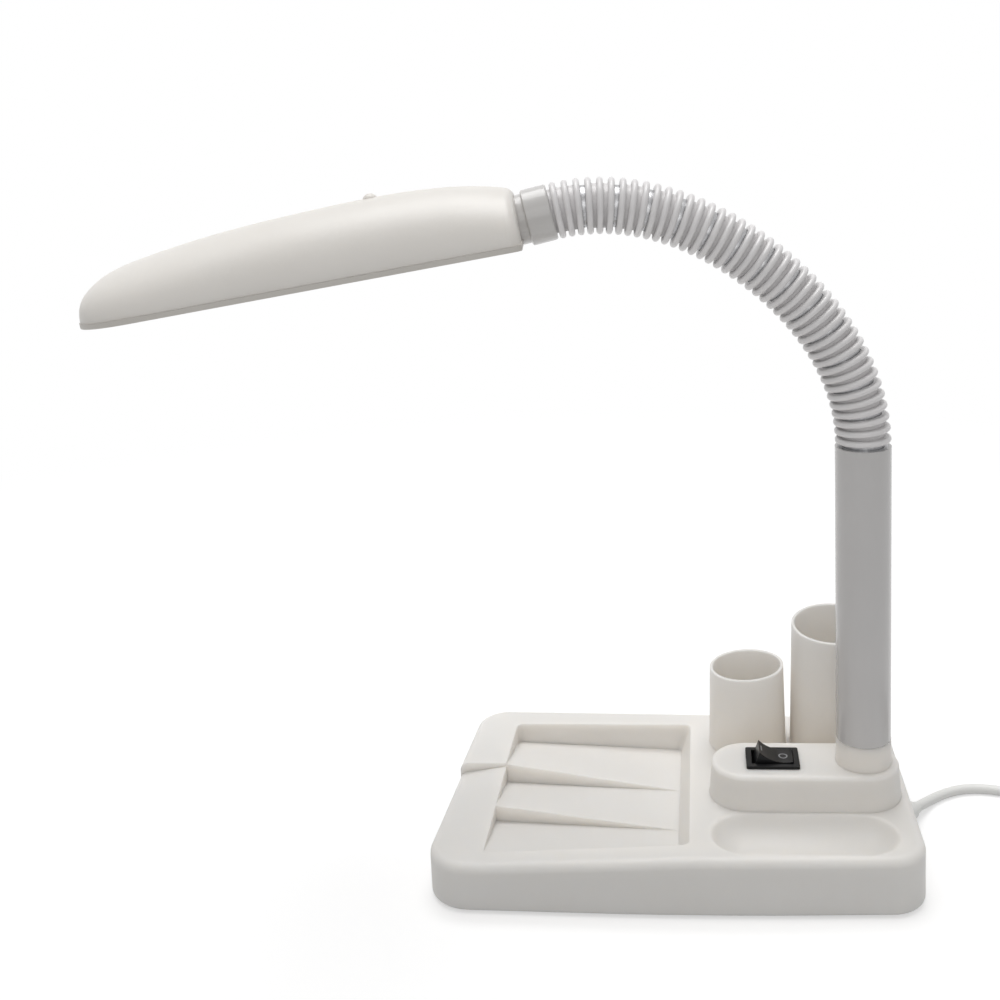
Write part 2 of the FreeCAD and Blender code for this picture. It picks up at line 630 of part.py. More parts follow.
def make_switch_housing():
    top = BLOCK_TOP + BEZEL[2]
    middle = 0.5 * (BLOCK_TOP + top)
    bezel = switch_block(BEZEL[0], BEZEL[1], BLOCK_TOP, top)
    bezel = round_edges(bezel, BEZEL_CORNER, lambda e, p: abs(p.z - middle) < TOUCHING)
    body = switch_block(SWITCH_BODY[0], SWITCH_BODY[1], BLOCK_TOP - SWITCH_BODY[2], BLOCK_TOP)
    well = switch_block(ROCKER_WELL[0], ROCKER_WELL[1], top - ROCKER_WELL[2], top)
    pivot = rocker_pivot()
    reach = rocker_half_width() + ROCKER_PIN_REACH + RUNNING_GAP
    holes = Part.makeCylinder(ROCKER_PIN_RADIUS + RUNNING_GAP, 2.0 * reach,
                              pivot - Vec(0, reach, 0), Vec(0, 1, 0))
    return fuse([bezel, body]).cut(well).cut(holes)


def rocker_half_width():
    return ROCKER_WELL[1] / 2 - PART_GAP


def make_switch_rocker():
    """Rocker with a hollow top, its left end up."""
    half = rocker_half_width()
    left = Vec(-ROCKER_HALF_LENGTH, -half, ROCKER_END_RISE)
    right = Vec(ROCKER_HALF_LENGTH, -half, ROCKER_END_RISE)
    low_right = Vec(ROCKER_FOOT, -half, -ROCKER_DROP)
    low_left = Vec(-ROCKER_FOOT, -half, -ROCKER_DROP)
    hollow = Part.Arc(left, Vec(0, -half, ROCKER_DIP), right).toShape()
    corners = (right, low_right, low_left, left)
    sides = [Part.LineSegment(a, b).toShape() for a, b in zip(corners, corners[1:])]
    solid = Part.Face(Part.Wire([hollow] + sides)).extrude(Vec(0, 2.0 * half, 0))
    reach = half + ROCKER_PIN_REACH
    pins = Part.makeCylinder(ROCKER_PIN_RADIUS, 2.0 * reach, Vec(0, -reach, 0), Vec(0, 1, 0))
    solid = fuse([solid, pins])
    solid.Placement = FreeCAD.Placement(rocker_pivot(), FreeCAD.Rotation(Vec(0, 1, 0), ROCKER_TILT))
    return solid


def tab_places():
    return [SWITCH_X - TAB_SPACING / 2, SWITCH_X + TAB_SPACING / 2]


def tab_bottom():
    return BLOCK_TOP - SWITCH_BODY[2] - TAB[2]


def make_switch_terminals():
    length, thick, height = TAB
    tabs = []
    for x in tab_places():
        tabs.append(block(x - thick / 2, x + thick / 2, SWITCH_Y - length / 2, SWITCH_Y + length / 2,
                          tab_bottom(), tab_bottom() + height))
    return Part.makeCompound(tabs)


# ---- column ------------------------------------------------------------------------------

def nut_top():
    return BLOCK_TOP - TOP_WALL - WASHER_HEIGHT


def rod_bottom():
    return nut_top() - NUT_HEIGHT - ROD_TAIL


def anchor_bottom():
    return COLUMN_TOP - ANCHOR_HEIGHT


def make_column_tube():
    return tube(COLUMN_RADIUS, COLUMN_BORE, BOSS_TOP, COLUMN_TOP)


def make_column_rod():
    return tube(ROD_RADIUS, ROD_BORE, rod_bottom(), anchor_bottom() + ANCHOR_THREAD)


def make_column_washer():
    return tube(WASHER_RADIUS, ROD_RADIUS + PART_GAP, nut_top(), nut_top() + WASHER_HEIGHT)


def make_column_nut():
    corner = NUT_FLATS / math.sqrt(3.0)
    low = nut_top() - NUT_HEIGHT
    angles = [math.radians(60 * i) for i in range(6)]
    points = [Vec(corner * math.cos(angle), corner * math.sin(angle), low) for angle in angles]
    return prism(points, Vec(0, 0, NUT_HEIGHT)).cut(cylinder(ROD_RADIUS, low, nut_top()))


def make_neck_anchor():
    """Plug in the column's top: thread below, ball socket above, wire bore between them."""
    solid = cylinder(COLUMN_BORE, anchor_bottom(), COLUMN_TOP).cut(socket(0))
    solid = solid.cut(cylinder(ROD_RADIUS, anchor_bottom(), anchor_bottom() + ANCHOR_THREAD))
    return solid.cut(cylinder(NECK_BORE, anchor_bottom(), COLUMN_TOP))


# ---- gooseneck ---------------------------------------------------------------------------

def neck_angle(s):
    """Angle from the vertical at a length s along the neck."""
    wave = math.sin(2.0 * math.pi * s / NECK_LENGTH) / (2.0 * math.pi)
    return NECK_BEND * (s / NECK_LENGTH + NECK_BEND_VARIATION * wave)


def neck_yaw(s):
    return NECK_YAW * s / NECK_LENGTH


def neck_direction(s):
    angle = neck_angle(s)
    yaw = neck_yaw(s)
    return Vec(-math.sin(angle) * math.cos(yaw), -math.sin(angle) * math.sin(yaw), math.cos(angle))


def neck_point(s):
    """Point on the neck's curve, as the sum of many short chords."""
    step = s / BALL_CHORDS
    point = Vec(0, 0, COLUMN_TOP)
    for i in range(BALL_CHORDS):
        point = point + neck_direction((i + 0.5) * step) * step
    return point


def bend_axis(s):
    """Axis of the joint that bends the neck forward over the tray."""
    yaw = neck_yaw(s)
    return Vec(math.sin(yaw), -math.cos(yaw), 0)


def sway_axis(s):
    """Axis of the joint that sways the neck to a side."""
    return bend_axis(s).cross(neck_direction(s))


def joint_place(index):
    """Length along the neck of a joint, in the middle of the gap before a section."""
    return index * SECTION_PITCH + 0.5 * RIB_GAP


def rib():
    """One rib with a round edge, centred on the origin."""
    half = 0.5 * RIB_WIDTH
    flat = RIB_RADIUS - half
    arc = Part.Arc(Vec(flat, 0, -half), Vec(RIB_RADIUS, 0, 0), Vec(flat, 0, half)).toShape()
    corners = (Vec(flat, 0, half), Vec(0, 0, half), Vec(0, 0, -half), Vec(flat, 0, -half))
    lines = [Part.LineSegment(a, b).toShape() for a, b in zip(corners, corners[1:])]
    return Part.Face(Part.Wire([arc] + lines)).revolve(Vec(0, 0, 0), UP, 360)


def neck_disc(radius, start, end):
    """Solid disc across the neck between two lengths along it."""
    middle = 0.5 * (start + end)
    disc = Part.makeCylinder(radius, end - start, Vec(0, 0, -0.5 * (end - start)))
    return stand(disc, neck_point(middle), neck_direction(middle))


def socket(index):
    """Hollow for the ball of one joint."""
    return Part.makeSphere(BALL_RADIUS + SOCKET_GAP, neck_point(joint_place(index)))


def make_sleeve(index):
    """One section of the ribbed sleeve: ribs joined by grooves, with a socket at each joint."""
    first = index * SECTION_PITCH + RIB_GAP
    pieces = []
    for i in range(RIBS_PER_SECTION):
        middle = first + 0.5 * RIB_WIDTH + i * RIB_PITCH
        pieces.append(stand(rib(), neck_point(middle), neck_direction(middle)))
    for i in range(RIBS_PER_SECTION - 1):
        start = first + RIB_WIDTH + i * RIB_PITCH
        pieces.append(neck_disc(GROOVE_RADIUS, start - 0.25 * RIB_WIDTH, start + RIB_GAP + 0.25 * RIB_WIDTH))
    last = index == SECTION_COUNT - 1
    if last:
        end = first + SECTION_PITCH - RIB_GAP
        pieces.append(neck_disc(GROOVE_RADIUS, end - 0.5 * RIB_WIDTH, NECK_LENGTH))
    solid = pieces[0].multiFuse(pieces[1:]).cut(socket(index))
    if last:
        collar = Part.makeCylinder(COLLAR_RADIUS, COLLAR_LENGTH)
        solid = solid.cut(stand(collar, neck_end(), neck_end_direction()))
        return solid.cut(neck_disc(NECK_BORE, first, NECK_LENGTH + OVERRUN))
    return solid.cut(socket(index + 1))


def make_core(index):
    """Ball of one joint, with its ends cut flat and a bore for the wires."""
    ball = Part.makeSphere(BALL_RADIUS)
    slab = Part.makeCylinder(BALL_RADIUS, 2.0 * BALL_HALF_LENGTH, Vec(0, 0, -BALL_HALF_LENGTH))
    bore = Part.makeCylinder(NECK_BORE, 2.0 * BALL_RADIUS, Vec(0, 0, -BALL_RADIUS))
    place = joint_place(index)
    return stand(ball.common(slab).cut(bore), neck_point(place), neck_direction(place))


# ---- collar and stub ---------------------------------------------------------------------

def neck_end():
    return neck_point(NECK_LENGTH)


def neck_end_direction():
    return neck_direction(NECK_LENGTH)


def make_neck_collar():
    solid = Part.makeCylinder(COLLAR_RADIUS, COLLAR_LENGTH)
    rims = [e for e in solid.Edges if e.Closed and e.Curve.TypeId == "Part::GeomCircle"]
    solid = solid.makeChamfer(COLLAR_CHAMFER, rims)
    solid = solid.cut(Part.makeCylinder(NECK_BORE, COLLAR_LENGTH))
    return stand(solid, neck_end(), neck_end_direction())


def stub_start():
    return neck_end() + neck_end_direction() * COLLAR_LENGTH


def stub_end():
    return stub_start() + neck_end_direction() * STUB_LENGTH


def make_neck_stub():
    """Short neck with a thinner stem that goes through the head's root wall."""
    size = 2.0 * HEAD_HALF_WIDTH
    casing = in_head(block(LIP_PROUD, size, -size, size, HEAD_LIP, size))
    lip = in_head(block(0.0, size, -size, size, -size, HEAD_LIP))
    wide = stand(Part.makeCylinder(STUB_RADIUS, STUB_LENGTH + OVERRUN), stub_start(), neck_end_direction())
    wide = wide.cut(casing).cut(lip)
    stem = stand(Part.makeCylinder(STEM_RADIUS, STUB_LENGTH + STEM_LENGTH), stub_start(), neck_end_direction())
    bore = stand(Part.makeCylinder(NECK_BORE, STUB_LENGTH + STEM_LENGTH), stub_start(), neck_end_direction())
    return fuse([wide, stem]).cut(bore)


# ---- head --------------------------------------------------------------------------------
# The head is drawn in its own frame: X along it from root to tip, Z up from its bottom plane.

def head_axes():
    """The head's own X, Y and Z directions."""
    flat = Vec(-math.cos(NECK_YAW), -math.sin(NECK_YAW), 0)
    along = flat * math.cos(HEAD_DROOP) - UP * math.sin(HEAD_DROOP)
    high = flat * math.sin(HEAD_DROOP) + UP * math.cos(HEAD_DROOP)
    return along, high.cross(along), high


def head_origin():
    return stub_end() - head_axes()[2] * STUB_HEIGHT


def in_head(shape):
    """The shape moved from the head's own frame to its place."""
    along, across, high = head_axes()
    origin = head_origin()
    matrix = FreeCAD.Matrix(along.x, across.x, high.x, origin.x, along.y, across.y, high.y, origin.y,
                            along.z, across.z, high.z, origin.z, 0, 0, 0, 1)
    moved = shape.copy()
    moved.Placement = FreeCAD.Placement(matrix)
    return moved


def head_corners():
    """Plan of the head's lip: square root, rounded tip that bows outwards."""
    side = HEAD_HALF_WIDTH
    tip = HEAD_LENGTH - HEAD_TIP_BOW
    return [(0.0, -side, HEAD_ROOT_CORNER), (tip, -side, HEAD_TIP_CORNER), (HEAD_LENGTH, 0.0, HEAD_TIP_MIDDLE),
            (tip, side, HEAD_TIP_CORNER), (0.0, side, HEAD_ROOT_CORNER)]


def plan_half_width(plan, x):
    """Half the width of a plan of the head at a place along it."""
    across = Part.LineSegment(Vec(x, -HEAD_HALF_WIDTH, 0), Vec(x, HEAD_HALF_WIDTH, 0)).toShape()
    return 0.5 * across.common(Part.Face(outline(plan, 0.0))).Length


def dome_section(x, height, half_width):
    """Ellipse across the head, centred on the lip's top, as one smooth closed curve."""
    points = []
    for i in range(DOME_POINTS):
        angle = 2.0 * math.pi * i / DOME_POINTS
        points.append(Vec(x, half_width * math.cos(angle), HEAD_LIP + (height - HEAD_LIP) * math.sin(angle)))
    curve = Part.BSplineCurve()
    curve.interpolate(Points=points, PeriodicFlag=True)
    return Part.Wire([curve.toShape()])


def make_dome(shrink):
    """Solid under the head's arched top, smaller by shrink all round."""
    margin = LIP_PROUD + shrink
    plan = inset(head_corners(), margin)
    sections = []
    for share, height in HEAD_CREST:
        x = share * (HEAD_LENGTH - margin)
        width = plan_half_width(plan, max(x, margin + HEAD_ROOT_CORNER))
        sections.append(dome_section(x, height - shrink, width))
    arch = Part.makeLoft(sections, True, False, False, DOME_DEGREE)
    size = HEAD_LENGTH + HEAD_HALF_WIDTH
    return arch.common(block(margin, size, -size, size, HEAD_LIP, size))


def on_root_edge(edge, middle):
    """Whether an edge is the top one of the head's root wall."""
    return abs(middle.x - LIP_PROUD) < TOUCHING and abs(middle.y) < JOIN and middle.z > 2.0 * HEAD_LIP


def make_head_shell():
    """Arched casing, open below, with four screw posts and a seat for the cap on its top."""
    inside = make_dome(HEAD_WALL)
    shell = round_edges(make_dome(0.0), HEAD_ROOT_ROUND, on_root_edge).cut(inside)
    posts = [cylinder(HEAD_POST_RADIUS, HEAD_LIP, HEAD_HALF_WIDTH, x, y) for x, y in head_screw_places()]
    cap_post = cylinder(CAP_RADIUS + HEAD_WALL, TONGUE_HEIGHT + TONGUE[1], HEAD_HALF_WIDTH, CAP_ALONG, 0.0)
    stock = posts[0].multiFuse(posts[1:] + [cap_post]).common(inside)
    shell = shell.fuse(stock).removeSplitter()
    for x, y in head_screw_places():
        shell = shell.cut(cylinder(HEAD_SCREW_RADIUS, 0.0, HEAD_SCREW_LENGTH, x, y))
    top = crest_height(CAP_ALONG)
    shell = shell.cut(cylinder(CAP_RADIUS, top - CAP_SEAT, top + OVERRUN, CAP_ALONG, 0.0))
    shell = shell.cut(cylinder(SCREW_RADIUS + PART_GAP, TONGUE_HEIGHT, top, CAP_ALONG, 0.0))
    return in_head(shell).cut(root_hole())


def crest_height(x):
    """Height of the casing's top at a place along the head."""
    share = x / HEAD_LENGTH
    for (share0, z0), (share1, z1) in zip(HEAD_CREST, HEAD_CREST[1:]):
        if share0 <= share <= share1:
            return z0 + (z1 - z0) * (share - share0) / (share1 - share0)


def root_hole():
    """Hole in the head's root wall for the neck's stem."""
    stem = Part.makeCylinder(STEM_RADIUS + PART_GAP, STEM_LENGTH)
    return stand(stem, stub_end() - neck_end_direction() * HEAD_WALL, neck_end_direction())


def head_screw_places():
    side = HEAD_HALF_WIDTH - HEAD_SCREW_MARGIN
    ends = (HEAD_SCREW_MARGIN + HEAD_ROOT_CORNER / 3, HEAD_LENGTH - HEAD_TIP_BOW - HEAD_TIP_CORNER)
    return [(x, y) for x in ends for y in (-side, side)]


def make_head_frame():
    """Flat frame under the casing: lip, ledge and window."""
    frame = plate(head_corners(), 0.0, HEAD_LIP)
    frame = frame.cut(plate(inset(head_corners(), SEAT_MARGIN), LEDGE, HEAD_LIP))
    frame = frame.cut(plate(inset(head_corners(), WINDOW_MARGIN), 0.0, LEDGE))
    for x, y in head_screw_places():
        frame = frame.cut(cylinder(HEAD_SCREW_RADIUS + PART_GAP, 0.0, HEAD_LIP, x, y))
        frame = frame.cut(cylinder(HEAD_SCREW_HEAD + PART_GAP, 0.0, LEDGE, x, y))
    return in_head(round_edges(frame, LIP_ROUND, on_lip))


def on_lip(edge, middle):
    """Whether an edge is one of the long ones under the lip, and not one of the window's."""
    near_side = abs(middle.y) > HEAD_HALF_WIDTH - LIP_BAND
    near_end = middle.x < LIP_BAND or middle.x > HEAD_LENGTH - HEAD_TIP_BOW - LIP_BAND
    return middle.z < TOUCHING and edge.Length > HEAD_ROOT_CORNER and (near_side or near_end)


def make_diffuser():
    return in_head(plate(inset(head_corners(), SEAT_MARGIN + PART_GAP), LEDGE, LEDGE + DIFFUSER_THICKNESS))


def reflector_plan(margin):
    return inset(head_corners(), REFLECTOR_MARGIN + margin)


def reflector_top():
    return HEAD_LIP + REFLECTOR_HEIGHT


def make_reflector():
    """Shallow white tray, open towards the window."""
    outer = plate(reflector_plan(0.0), HEAD_LIP, reflector_top())
    inner = plate(reflector_plan(REFLECTOR_WALL), HEAD_LIP, reflector_top() - REFLECTOR_WALL)
    solid = outer.cut(inner)
    for y in (-LEAD_SPREAD, LEAD_SPREAD):
        solid = solid.cut(cylinder(LEAD_RADIUS + PART_GAP, HEAD_LIP, reflector_top(), lead_drop(), y))
    return in_head(solid)


def lead_drop():
    """Place along the head where the leads go down to the board."""
    return 0.5 * (HEAD_LENGTH - BOARD[0]) + LEAD_MARGIN


def board_bottom():
    return reflector_top() - REFLECTOR_WALL - BOARD[2]


def make_led_board():
    length, width, thick = BOARD
    start = 0.5 * (HEAD_LENGTH - length)
    return in_head(block(start, start + length, -width / 2, width / 2, board_bottom(), board_bottom() + thick))


def make_leds():
    """Rows of small chips under the board."""
    length, width, thick = LED
    start = 0.5 * (HEAD_LENGTH - BOARD[0])
    chips = []
    for column in range(LED_COLUMNS):
        for row in range(LED_ROWS):
            x = start + BOARD[0] * (column + 0.5) / LED_COLUMNS
            y = BOARD[1] * ((row + 0.5) / LED_ROWS - 0.5)
            chips.append(block(x - length / 2, x + length / 2, y - width / 2, y + width / 2,
                               board_bottom() - thick, board_bottom()))
    return in_head(Part.makeCompound(chips))


def make_head_screws():
    screws = []
    for x, y in head_screw_places():
        head = cylinder(HEAD_SCREW_HEAD, HEAD_SCREW_SUNK, LEDGE, x, y)
        shank = cylinder(HEAD_SCREW_RADIUS, HEAD_SCREW_SUNK, HEAD_SCREW_LENGTH, x, y)
        screws.append(fuse([head, shank]))
    return Part.makeCompound([in_head(Part.makeCompound(screws)), make_bracket_screw()])


def make_head_bracket():
    """Plate at the root wall with a tongue under the casing's top."""
    width, thick = BRACKET_PLATE
    back = HEAD_WALL + LIP_PROUD + PART_GAP
    low = HEAD_LIP + JOIN
    high = TONGUE_HEIGHT + TONGUE[1]
    upright = block(back, back + thick, -width / 2, width / 2, low, high)
    upright = upright.common(make_dome(HEAD_WALL + PART_GAP))
    tongue = block(back, CAP_ALONG + TONGUE_PAST_CAP, -TONGUE[0] / 2, TONGUE[0] / 2, TONGUE_HEIGHT, high)
    solid = fuse([upright, tongue]).cut(cylinder(SCREW_RADIUS, low, high, CAP_ALONG, 0.0))
    stem = Part.makeCylinder(STEM_RADIUS, STEM_LENGTH)
    return in_head(solid).cut(stand(stem, stub_end(), neck_end_direction()))


def make_bracket_screw():
    """Screw from the cap's seat down into the bracket's tongue."""
    seat = crest_height(CAP_ALONG) - CAP_SEAT
    head = cylinder(CAP_RADIUS - PART_GAP, seat, seat + CAP_SCREW_HEAD, CAP_ALONG, 0.0)
    shank = cylinder(SCREW_RADIUS, TONGUE_HEIGHT, seat + CAP_SCREW_HEAD, CAP_ALONG, 0.0)
    return in_head(fuse([head, shank]))


def make_screw_cap():
    """Small dome that closes the screw's seat."""
    top = crest_height(CAP_ALONG)
    post = cylinder(CAP_RADIUS, top - CAP_SEAT + CAP_SCREW_HEAD, top, CAP_ALONG, 0.0)
    dome_radius = (CAP_RADIUS ** 2 + CAP_DOME ** 2) / (2.0 * CAP_DOME)
    ball = Part.makeSphere(dome_radius, Vec(CAP_ALONG, 0, top + CAP_DOME - dome_radius))
    keep = cylinder(CAP_RADIUS, top - 0.5 * TOUCHING, top + CAP_DOME + JOIN, CAP_ALONG, 0.0)
    return in_head(fuse([post, ball.common(keep)]))


# ---- leads -------------------------------------------------------------------------------

def make_base_leads():
    """Wires under the base: cord to switch, switch to column, cord to column."""
    inside = CORD_EXIT - grip_line() * GRIP_LENGTH
    low = COVER_TOP + LEAD_CLEARANCE
    left_tab, right_tab = tab_places()
    rod = rod_bottom()
    tabs = tab_bottom()
    live = round_bar([inside + Vec(0, LEAD_PITCH, 0), Vec(*LIVE_TURN, low), Vec(right_tab, SWITCH_Y, low + LIVE_RISE),
                      Vec(right_tab, SWITCH_Y, tabs)], LEAD_RADIUS)
    switched = round_bar([Vec(left_tab, SWITCH_Y, tabs), Vec(left_tab, SWITCH_Y, low + SWITCHED_RISE),
                          Vec(*SWITCHED_TURN, low + SWITCHED_RISE), Vec(0, -LEAD_SPREAD, low + SWITCHED_END),
                          Vec(0, -LEAD_SPREAD, rod)], LEAD_RADIUS)
    back = round_bar([inside - Vec(0, LEAD_PITCH, 0), Vec(*RETURN_TURN, low + LIVE_RISE), Vec(0, LEAD_SPREAD, low + RETURN_END),
                      Vec(0, LEAD_SPREAD, rod)], LEAD_RADIUS)
    return Part.makeCompound([live, switched, back])


def make_head_leads():
    """Two wires from the stem, over the reflector and down to the board."""
    leads = []
    along, across, high = head_axes()
    start = stub_end() + neck_end_direction() * STEM_LENGTH - head_origin()
    x = start.dot(along)
    z = start.dot(high)
    over = reflector_top() + LEAD_RISE
    for side in (-LEAD_SPREAD, LEAD_SPREAD):
        route = [Vec(x, side, z), Vec(x + STEM_LEAD_RUN, side, z + STEM_LEAD_RISE),
                 Vec(x + STEM_LEAD_FALL, side, over), Vec(lead_drop(), side, over),
                 Vec(lead_drop(), side, board_bottom() + BOARD[2])]
        leads.append(round_bar(route, LEAD_RADIUS))
    return in_head(Part.makeCompound(leads))


# ---- cord --------------------------------------------------------------------------------

def make_cord_grip():
    """Strain relief: sleeve round the cord through the wall, with a short tapered end."""
    sleeve = Part.makeCylinder(GRIP_RADIUS, GRIP_LENGTH, Vec(0, 0, -GRIP_LENGTH))
    sleeve = sleeve.cut(Part.makeCylinder(CORD_RADIUS, GRIP_LENGTH, Vec(0, 0, -GRIP_LENGTH)))
    boot = Part.makeCone(BOOT_RADII[0], BOOT_RADII[1], BOOT_LENGTH)
    boot = boot.cut(Part.makeCylinder(CORD_RADIUS + RUNNING_GAP, BOOT_LENGTH))
    return stand(fuse([sleeve, boot]), CORD_EXIT, grip_line())


def coil_surface_reach():
    """Distance along a tangent of the outer strand from its touching point to the coil's surface."""
    return math.sqrt((COIL_OUTER_STRAND + CORD_RADIUS) ** 2 - COIL_OUTER_STRAND ** 2)


def coil_entry():
    """Point where the cord's last straight run, a tangent of the outer strand, meets the coil's surface."""
    last = CORD_ROUTE[-1]
    to_centre = COIL_CENTRE - last
    distance = math.hypot(to_centre.x, to_centre.y)
    heading = math.atan2(to_centre.y, to_centre.x) + math.asin(COIL_OUTER_STRAND / distance)
    reach = math.sqrt(distance ** 2 - COIL_OUTER_STRAND ** 2) - coil_surface_reach()
    return last + Vec(math.cos(heading), math.sin(heading), 0) * reach


def make_power_cord():
    bar = round_bar(list(CORD_ROUTE) + [coil_entry()], CORD_RADIUS)
    inner = Part.makeCylinder(CORD_RADIUS, GRIP_LENGTH, Vec(0, 0, -GRIP_LENGTH))
    return fuse([bar, stand(inner, CORD_EXIT, grip_line())])


def make_cord_coil():
    """Outer shape of the wound length: a ring with rounded corners."""
    inner = COIL_OUTER_STRAND - CORD_RADIUS * (2 * COIL_STRANDS - 1)
    outer = COIL_OUTER_STRAND + CORD_RADIUS
    height = 2.0 * CORD_RADIUS * COIL_LAYERS
    ring = tube(outer, inner, 0.0, height, COIL_CENTRE.x, COIL_CENTRE.y)
    return round_edges(ring, COIL_EDGE_ROUND, lambda e, p: p.z < TOUCHING or p.z > height - TOUCHING)


def tail_start():
    """Where the tail leaves the coil's surface, at the height of the plug's axis."""
    side = COIL_CENTRE + Vec(COIL_OUTER_STRAND, 0, PLUG_BODY[2] / 2)
    return side + TAIL_DIRECTION * coil_surface_reach()


def make_cord_tail():
    return stand(Part.makeCylinder(CORD_RADIUS, TAIL_LENGTH), tail_start(), TAIL_DIRECTION)


def plug_start():
    """Centre of the plug body's cord end."""
    return tail_start() + TAIL_DIRECTION * TAIL_LENGTH


def plug_block(length, width, height, start):
    """Box of the plug, centred on its axis, from a distance along it."""
    return block(-width / 2, width / 2, -height / 2, height / 2, start, start + length)


def make_plug_body():
    length, width, height = PLUG_BODY
    body = plug_block(length, width, height, 0.0)
    body = round_edges(body, PLUG_ROUND, lambda e, p: abs(p.z - 0.5 * length) < TOUCHING)
    return stand(body, plug_start(), TAIL_DIRECTION).cut(make_plug_shell())


def make_plug_shell():
    """Metal shell of the plug, a thin rectangular sleeve with a solid foot in the plug's body."""
    length, width, height = PLUG_SHELL
    walls = 2.0 * PLUG_SHELL_WALL
    outer = plug_block(length + PLUG_SHELL_SEAT, width, height, PLUG_BODY[0] - PLUG_SHELL_SEAT)
    inner = plug_block(length, width - walls, height - walls, PLUG_BODY[0])
    return stand(outer.cut(inner), plug_start(), TAIL_DIRECTION)


# ---- all pieces --------------------------------------------------------------------------

def make_parts():
    parts = {
        "base_shell": make_base_shell(),
        "base_cover": make_base_cover(),
        "ballast_plate": make_ballast_plate(),
        "base_screws": make_base_screws(),
        "switch_housing": make_switch_housing(),
        "switch_rocker": make_switch_rocker(),
        "switch_terminals": make_switch_terminals(),
        "column_tube": make_column_tube(),
        "column_rod": make_column_rod(),
        "column_washer": make_column_washer(),
        "column_nut": make_column_nut(),
        "neck_anchor": make_neck_anchor(),
        "neck_collar": make_neck_collar(),
        "neck_stub": make_neck_stub(),
        "head_shell": make_head_shell(),
        "head_frame": make_head_frame(),
        "head_bracket": make_head_bracket(),
        "screw_cap": make_screw_cap(),
        "diffuser": make_diffuser(),
        "reflector": make_reflector(),
        "led_board": make_led_board(),
        "leds": make_leds(),
        "head_screws": make_head_screws(),
        "head_leads": make_head_leads(),
        "base_leads": make_base_leads(),
        "cord_grip": make_cord_grip(),
        "power_cord": make_power_cord(),
        "cord_coil": make_cord_coil(),
        "cord_tail": make_cord_tail(),
        "plug_body": make_plug_body(),
        "plug_shell": make_plug_shell(),
    }
    parts["rubber_feet"] = Part.makeCompound([make_foot(i) for i in range(len(FOOT_PLACES))])
    for index in range(SECTION_COUNT):
        parts["gooseneck_core_%02d" % (index + 1)] = make_core(index)
        parts["gooseneck_sleeve_%02d" % (index + 1)] = make_sleeve(index)
    return parts


CORD_NODES = ("cord_grip", "power_cord", "cord_coil", "cord_tail", "plug_body", "plug_shell")


def lamp_box(parts):
    """Box of the lamp without its cord."""
    box = FreeCAD.BoundBox()
    for name, shape in parts.items():
        if name not in CORD_NODES:
            box.add(shape.optimalBoundingBox(False, False))
    return box


def main():
    parts = make_parts()
    box = lamp_box(parts)
    shift = Vec(-box.Center.x, -box.Center.y, -box.ZMin)
    print("moved by", shift)
    os.makedirs("parts", exist_ok=True)
    for name, shape in parts.items():
        shape.translated(shift).exportStep("parts/%s.step" % name)
    return parts, shift


PARTS, SHIFT = main()
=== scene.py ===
# %% [markdown]
# # A desk lamp with a pen-tray base
# The lamp is a moulded plastic base with a tray, a dish and two cups, a painted steel column, a
# ribbed gooseneck and a long arched head with a light panel underneath.  Its solids come ready
# made from the construction model, each at its own place.  This lesson gives them their finish,
# and models what a solid can't show well: the cord, its plug and the marks on the switch.
# Lengths are metres, as everywhere in Blender.

# %% Load the lamp
import bpy
import math
from mathutils import Matrix, Vector


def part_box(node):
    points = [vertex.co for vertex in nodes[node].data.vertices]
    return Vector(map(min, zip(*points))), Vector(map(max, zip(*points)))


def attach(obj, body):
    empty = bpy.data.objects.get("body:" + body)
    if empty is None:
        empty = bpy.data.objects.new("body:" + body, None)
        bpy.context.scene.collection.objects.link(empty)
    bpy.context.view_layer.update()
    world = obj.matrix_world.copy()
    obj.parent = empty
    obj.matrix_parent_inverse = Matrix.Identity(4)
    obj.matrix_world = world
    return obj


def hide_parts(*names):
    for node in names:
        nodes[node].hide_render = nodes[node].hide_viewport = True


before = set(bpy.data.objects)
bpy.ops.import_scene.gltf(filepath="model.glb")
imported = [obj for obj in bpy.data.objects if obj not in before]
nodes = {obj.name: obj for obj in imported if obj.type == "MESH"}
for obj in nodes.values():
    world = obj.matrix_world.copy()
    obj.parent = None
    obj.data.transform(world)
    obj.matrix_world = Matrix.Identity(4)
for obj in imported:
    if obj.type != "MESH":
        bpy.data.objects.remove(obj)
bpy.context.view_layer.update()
MM = 0.001

column_low, column_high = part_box("column_tube")
COLUMN_AXIS = Vector(((column_low[0] + column_high[0]) / 2, (column_low[1] + column_high[1]) / 2, 0))


def from_column(x, y, z):
    """A point given in metres from the foot of the column's axis."""
    return COLUMN_AXIS + Vector((x, y, z))


print("nodes", len(nodes), "column axis at", tuple(round(v, 5) for v in COLUMN_AXIS))

# %% [markdown]
# ## The camera
# A product shot is taken from a little above the table, so that the tray shows, and from far
# enough that the long head isn't distorted.  The camera is turned by three angles, as on a
# tripod head: first the direction round the room, then the tilt down, then a slight roll.  The
# lens is shifted as well, to place the lamp in the frame.

# %% Put up the camera
CAMERA_PLACE = from_column(-0.06063, -0.45707, 0.29033)
CAMERA_TURN, CAMERA_TILT, CAMERA_ROLL = math.radians(-3.878), math.radians(8.067), math.radians(1.672)

